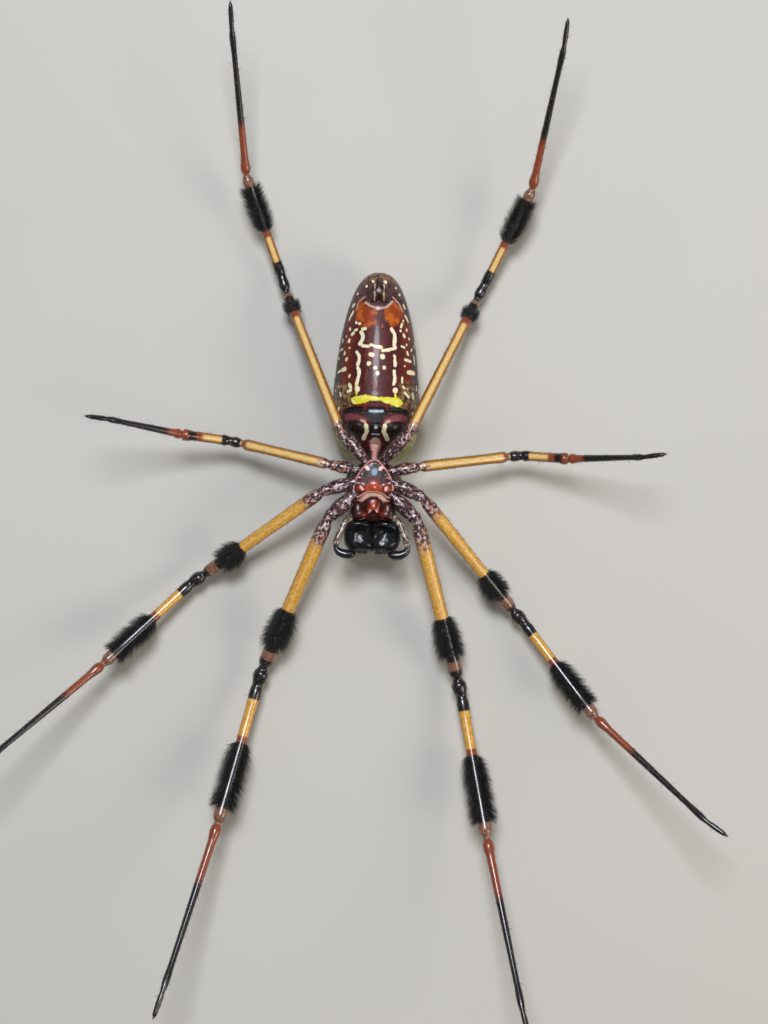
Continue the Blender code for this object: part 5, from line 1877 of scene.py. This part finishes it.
# Each segment with the column of its pair's girth, then shares of its length with the half
# width and half height there, in girths.
GIRTHS = (
    (Part.COXA, 0, ((0.0, 0.66, 0.95), (0.2, 0.84, 1.12), (0.45, 0.96, 1.12),
                    (0.66, 0.90, 0.98), (0.76, 0.78, 0.80), (0.90, 0.84, 0.86),
                    (0.97, 0.70, 0.72))),
    (F, 1, ((0.015, 0.70, 0.70), (0.05, 0.92, 0.92), (0.16, 1.0, 1.0), (0.34, 0.98, 0.98),
            (0.52, 0.95, 0.95), (0.70, 0.94, 0.94), (0.82, 0.97, 0.97), (0.91, 1.02, 1.02),
            (0.965, 0.92, 0.92), (0.992, 0.66, 0.66))),
    (P, 2, ((0.06, 0.72, 0.72), (0.24, 0.96, 0.96), (0.55, 1.0, 1.0), (0.84, 0.86, 0.86))),
    (T, 3, ((0.0, 0.98, 0.98), (0.05, 1.12, 1.12), (0.14, 1.02, 1.02), (0.38, 0.97, 0.97),
            (0.60, 1.0, 1.0), (0.80, 1.02, 1.02), (0.925, 1.22, 1.22), (0.97, 1.14, 1.14),
            (0.995, 0.80, 0.80))),
    (M, 5, ((0.012, 0.80, 0.80), (0.03, 1.14, 1.14), (0.12, 1.0, 1.0), (0.35, 0.90, 0.90),
            (0.60, 0.80, 0.80), (0.84, 0.72, 0.72), (0.97, 0.78, 0.78))),
    (S, 6, ((0.04, 0.90, 0.90), (0.30, 1.0, 1.0), (0.70, 0.92, 0.92), (0.90, 0.76, 0.76),
            (0.98, 0.5, 0.5))),
)
# How far a segment bows up, as a share of its length.
BOWS = {F: 0.018, T: -0.012, M: -0.022}


@dataclass
class Leg:
    """One leg: a jointed skin, its brushes, its fine hairs and spines, and its claws."""

    plan: LegPlan
    side: Side
    around: int = 30
    spacing: float = 0.20
    hip: float = 0.75
    hairs_per_mm: float = 26.0
    spines_per_mm: float = 1.1

    def __post_init__(self) -> None:
        """Work out the joints, the path and the ring sizes."""
        s = self.side.value
        turns = np.radians(self.plan.left if self.side is Side.LEFT else self.plan.right)
        rises = np.radians(self.plan.rise)
        ways = np.stack([s * np.sin(turns) * np.cos(rises), -np.cos(turns) * np.cos(rises),
                         np.sin(rises)], -1)
        root = place(s * self.plan.root[0], self.plan.root[1], self.plan.root[2])
        steps = ways * np.asarray(self.plan.lengths)[:, None]
        self.joints = np.concatenate([[root], root + np.cumsum(steps, axis=0)])
        self.starts = np.append(0.0, np.cumsum(self.plan.lengths))
        total = self.starts[-1]
        self.run = np.linspace(-self.hip, total, int(total / self.spacing))
        self.path = self.curve(self.run)
        stops, wide, tall = [-self.hip], [0.0], [0.0]
        for part, column, profile in GIRTHS:
            base = self.plan.girth[column]
            for share, w, t in profile:
                stops.append(self.starts[part.value] + share * self.plan.lengths[part.value])
                wide.append(w * base)
                tall.append(t * base)
        wide[0], tall[0] = wide[1], tall[1]
        stops.append(total)
        sizes = np.stack([wide + [0.05], tall + [0.05]], -1)
        self.size = spline(self.run, stops, sizes)
        self.rings = sweep(self.path, self.size[:, 0], self.size[:, 1], self.around)

    def curve(self, run: Array) -> Array:
        """Return points of the leg's middle line at the given lengths along it.

        Each segment is straight between its joints plus a bow of 4s(1 - s) in height, and
        the whole is averaged over a third of a millimetre each way to round the bends.

        Args:
            run: Lengths along the leg.

        Returns:
            Points of the line.
        """
        total = 0.0
        for shift in (-0.32, -0.16, 0.0, 0.16, 0.32):
            at = run + shift
            k = np.clip(np.searchsorted(self.starts, at, side="right") - 1, 0, 5)
            share = (at - self.starts[k]) / np.asarray(self.plan.lengths)[k]
            low, high = self.joints[k], self.joints[k + 1]
            bow = np.array([BOWS.get(part, 0.0) for part in Part])[k]
            lift = bow * np.asarray(self.plan.lengths)[k] * 4.0 * share * (1.0 - share)
            lift = np.where((share < 0.0) | (share > 1.0), 0.0, lift)
            total = total + 0.2 * (low + (high - low) * share[:, None]
                                   + lift[:, None] * np.array([0.0, 0.0, 1.0]))
        return total

    def depth(self, bands: tuple) -> Array:
        """Measure how deep each ring lies in the given bands.

        Args:
            bands: Segments with start and end shares and the width of the blurred edge.

        Returns:
            Depths as shares of the edge's width, held within 3 each way.
        """
        best = np.full(len(self.run), -3.0)
        for part, start, end, soft in bands:
            low = self.starts[part.value] + start * self.plan.lengths[part.value]
            high = self.starts[part.value] + end * self.plan.lengths[part.value]
            inside = np.minimum(self.run - low, high - self.run) / soft
            best = np.maximum(best, np.clip(inside, -3.0, 3.0))
        return best

    def skin(self) -> Skin:
        """Close the leg's rings and give them the depths of its coloured bands.

        Returns:
            The leg's skin.
        """
        skin = grid_skin(self.rings, self.path[0], self.path[-1])
        turn = 2.0 * np.pi * (np.arange(self.around) + 0.5) / self.around
        high = np.sin(turn)[None] + 0.0 * self.run[:, None]
        side = np.abs(np.cos(turn))[None] + 0.0 * self.run[:, None]
        limit = 0.92 if self.plan.number > 2 else 1.0
        highlight_crest = np.append((high - limit).ravel(), [-1.0, -1.0])
        end = self.starts[1] + self.plan.mottle_end * self.plan.lengths[1]
        bands = {"black": self.plan.black, "rust": self.plan.rust, "tan": self.plan.tan}
        skin.values = {
            **{key: along_points(self.depth(band), self.around) for key, band in bands.items()},
            "mottle": along_points((end - self.run) / 1.5, self.around),
            # flank: how far round to the side a point lies, where the amber is partly painted
            # shade.
            "flank": np.append(side.ravel(), [0.5, 0.5]) - self.plan.flank,
            # highlight_crest marks a painted highlight along the top of each ring, and high also
            # gathers the coxae's painted pale highlights there.
            "highlight_crest": highlight_crest, "high": highlight_crest + limit,
        }
        return skin

    def tuft(self, tuft: Tuft, draw: np.random.Generator) -> Skin:
        """Grow one brush: dense stiff hairs that lean and bend toward the leg's tip.

        Args:
            tuft: The brush's span, count and length.
            draw: Source of the hairs' places and small differences.

        Returns:
            The brush as one skin.
        """
        low = self.starts[tuft.part.value] + tuft.start * self.plan.lengths[tuft.part.value]
        high = self.starts[tuft.part.value] + tuft.end * self.plan.lengths[tuft.part.value]
        run = self.run[:-1, None]
        inside = ramp(low - 0.15, low + 0.3, run) * ramp(high + 0.15, high - 0.3, run)
        turn = 2.0 * np.pi * (np.arange(self.around) + 1.0) / self.around
        clear = ramp(math.sin(math.pi / 2.0 - tuft.bare_top + 0.18),
                     math.sin(math.pi / 2.0 - tuft.bare_top - 0.12), np.sin(turn))
        roots = scatter(self.rings, tuft.count, draw, inside * clear[None] + 1e-9)
        count = tuft.count
        at = self.nearest(roots)
        ends = ramp(low - 0.7, low + 1.1, at) * (0.35 + 0.65 * ramp(high + 0.9, high - 2.0, at))
        tilt = np.radians(draw.normal(35.0, 11.0, count))[:, None]
        way = roots.normals * np.cos(tilt) + roots.ahead * np.sin(tilt)
        way = way + draw.normal(0.0, 0.09, (count, 3))
        bend = roots.ahead * draw.uniform(0.02, 0.26, count)[:, None]
        length = tuft.length * (0.50 + 0.50 * ends) * draw.uniform(0.58, 1.08, count)
        return Hairs(roots.spots - roots.normals * 0.03, way, length, bend, roots.charts,
                     radius=0.0195, blunt=0.6).skin(draw)

    def nearest(self, roots: Roots) -> Array:
        """Return the length along the leg at which each root stands."""
        return self.run[0] + roots.charts[:, 0] * (self.run[-1] - self.run[0])

    def down(self, draw: np.random.Generator) -> tuple[Skin, Skin]:
        """Grow the short hairs that lie along the leg, and the longer spines.

        Args:
            draw: Source of the hairs' places and small differences.

        Returns:
            The short hairs, and the spines.
        """
        total = float(self.starts[-1])
        run = self.run[:-1, None]
        along = np.where(run < self.starts[1], 0.7, 1.0) + np.zeros((1, self.around))
        roots = scatter(self.rings, int(total * self.hairs_per_mm), draw, along)
        short = roots.hairs(draw, 0.42, 0.85, 0.10, (0.25, 0.5), -roots.normals * 0.05, 0.01,
                            radius=0.012, steps=(0.0, 0.5))
        sides = np.abs(np.cos(2.0 * np.pi * (np.arange(self.around) + 1.0) / self.around))
        where = (ramp(self.starts[1] + 2.0, self.starts[1] + 4.0, run) * sides[None] ** 2
                 / np.maximum(self.size[:-1, :1], 0.2))
        roots = scatter(self.rings, int(total * self.spines_per_mm), draw, where)
        spines = roots.hairs(draw, 0.85, 0.60, 0.08, (0.45, 0.85), roots.ahead * 0.12, 0.03,
                             radius=0.022, blunt=0.8)
        return short.skin(draw), spines.skin(draw)

    def claws(self) -> Skin:
        """Make the paired claws and the middle one at the leg's tip.

        Each runs on from the tip and rises as the square of its share, its half width
        falling as (1 - t) to the power 0.7.

        Returns:
            The claws as one skin.
        """
        tip, way = self.joints[-1], unit(self.joints[-1] - self.joints[-2])
        side = unit(np.cross(way, (0.0, 0.0, 1.0)))
        hooks = []
        for across, long in ((-0.09, 0.42), (0.09, 0.42), (0.0, 0.28)):
            share = np.linspace(0.0, 1.0, 16)[:, None]
            path = (tip - way * 0.12 + side * across + way * long * share
                    + np.array([0.0, 0.0, 0.30]) * share ** 2)
            size = 0.055 * (1.0 - share[:, 0]) ** 0.7 + 0.003
            hooks.append(grid_skin(sweep(path, size, size, 8), path[0], path[-1]))
        return Skin.join(hooks)

    def build(self, finish: bpy.types.Material, bristle: bpy.types.Material,
              down: bpy.types.Material, claw: bpy.types.Material) -> None:
        """Make the leg's pieces.

        Args:
            finish: Finish of the skin.
            bristle: Finish of the brushes and spines.
            down: Finish of the short hairs.
            claw: Finish of the claws.
        """
        name = f"leg_{self.plan.number}_{self.side.word}"
        nodes = tuple(f"{name}_{part}" for part in ("coxa", "femur", "tibia", "metatarsus"))
        piece(f"{name}_skin", self.skin(), finish, nodes)
        draw = self.side.draws(100 * self.plan.number)
        if self.plan.tufts:
            tufts = [self.tuft(tuft, draw) for tuft in self.plan.tufts]
            piece(f"{name}_brushes", Skin.join(tufts), bristle)
        short, spines = self.down(draw)
        piece(f"{name}_down", short, down)
        piece(f"{name}_spines", spines, bristle)
        piece(f"{name}_claws", self.claws(), claw)


# The room


@dataclass
class Studio:
    """The pale floor, the soft lights and the camera straight above the spider."""

    camera_over: tuple[float, float] = (1.33, -7.10)
    camera_height: float = 300.0
    half_view: float = 0.20867
    roll: float = 1.63
    lamps: tuple = (("sky_light", (-25.0, 150.0, 430.0), 140.0, 1.85, "#EEF3FF"),
                    ("side_light", (330.0, -120.0, 260.0), 200.0, 0.60, "#FFF6EA"))
    air: str = "#EEF1F4"
    air_strength: float = 0.20
    floor_half_m: float = 3.0

    def lamp(self, name: str, spot: tuple[float, float, float], size: float, power: float,
             tint: str, aim: tuple[float, float, float] = (0.0, -2.0, 6.0)) -> None:
        """Hang a round soft light and aim it at the spider.

        Args:
            name: The light's name.
            spot: Where it hangs, in millimetres.
            size: How wide it is, in millimetres.
            power: Its power in watts.
            tint: Its colour.
            aim: The point that it faces.
        """
        light = bpy.data.lights.new(name, "AREA")
        light.shape = "DISK"
        light.energy, light.size, light.color = power, size * MM, rgba(tint)[:3]
        lamp = bpy.data.objects.new(name, light)
        lamp.location = Vector(spot) * MM
        lamp.rotation_euler = (Vector(aim) - Vector(spot)).to_track_quat("-Z", "Y").to_euler()
        bpy.context.scene.collection.objects.link(lamp)

    def build(self) -> None:
        """Lay the floor, hang the lights and set the camera."""
        mesh = bpy.data.meshes.new("floor_paper")
        far = self.floor_half_m
        mesh.from_pydata([(-far, -far, 0.0), (far, -far, 0.0), (far, far, 0.0),
                          (-far, far, 0.0)], [], [(0, 1, 2, 3)])
        mesh.materials.append(FloorPaper().material())
        floor = bpy.data.objects.new("floor_paper", mesh)
        bpy.context.scene.collection.objects.link(floor)
        for lamp in self.lamps:
            self.lamp(*lamp)
        world = bpy.data.worlds.new("studio_air")
        world.use_nodes = True
        back = world.node_tree.nodes["Background"]
        back.inputs["Color"].default_value = rgba(self.air)
        back.inputs["Strength"].default_value = self.air_strength
        scene = bpy.context.scene
        scene.world = world
        camera = bpy.data.cameras.new("camera")
        camera.sensor_width = 36.0
        camera.lens = camera.sensor_width / 2.0 / self.half_view
        camera.clip_start, camera.clip_end = 0.01, 20.0
        eye = bpy.data.objects.new("camera", camera)
        x, y = self.camera_over
        eye.location = Vector((x, y - REST_FROM_WAIST, self.camera_height)) * MM
        eye.rotation_euler = Euler((0.0, 0.0, math.radians(self.roll)))
        scene.collection.objects.link(eye)
        scene.camera = eye
        scene.view_settings.view_transform = "Standard"


def main() -> None:
    """Build the room and the spider, in order from the camera to the claws."""
    logging.basicConfig(level=logging.INFO, format="%(name)s: %(message)s")
    Studio().build()
    Abdomen().build()
    Spinnerets().build()
    Prosoma().build()
    black = PolishedChitin(roughness=(0.18, 0.36), coat=0.06, swell_mm=0.40).material()
    bristle = HairFinish("black_brush_hair", "#060608", "#121316", "#1E1A1A",
                         sheen=0.04).material()
    down = HairFinish("short_leg_hair", "#4A3826", "#8E7A60", "#C8B48C").material()
    palp = PalpChitin().material()
    for side in Side:
        Jaw(side).build(black, bristle)
        Palp(side).build(bristle, palp)
    chitin = LegChitin().material()
    for plan in PLANS:
        for side in Side:
            Leg(plan, side).build(chitin, bristle, down, black)


if __name__ == "__main__":
    main()
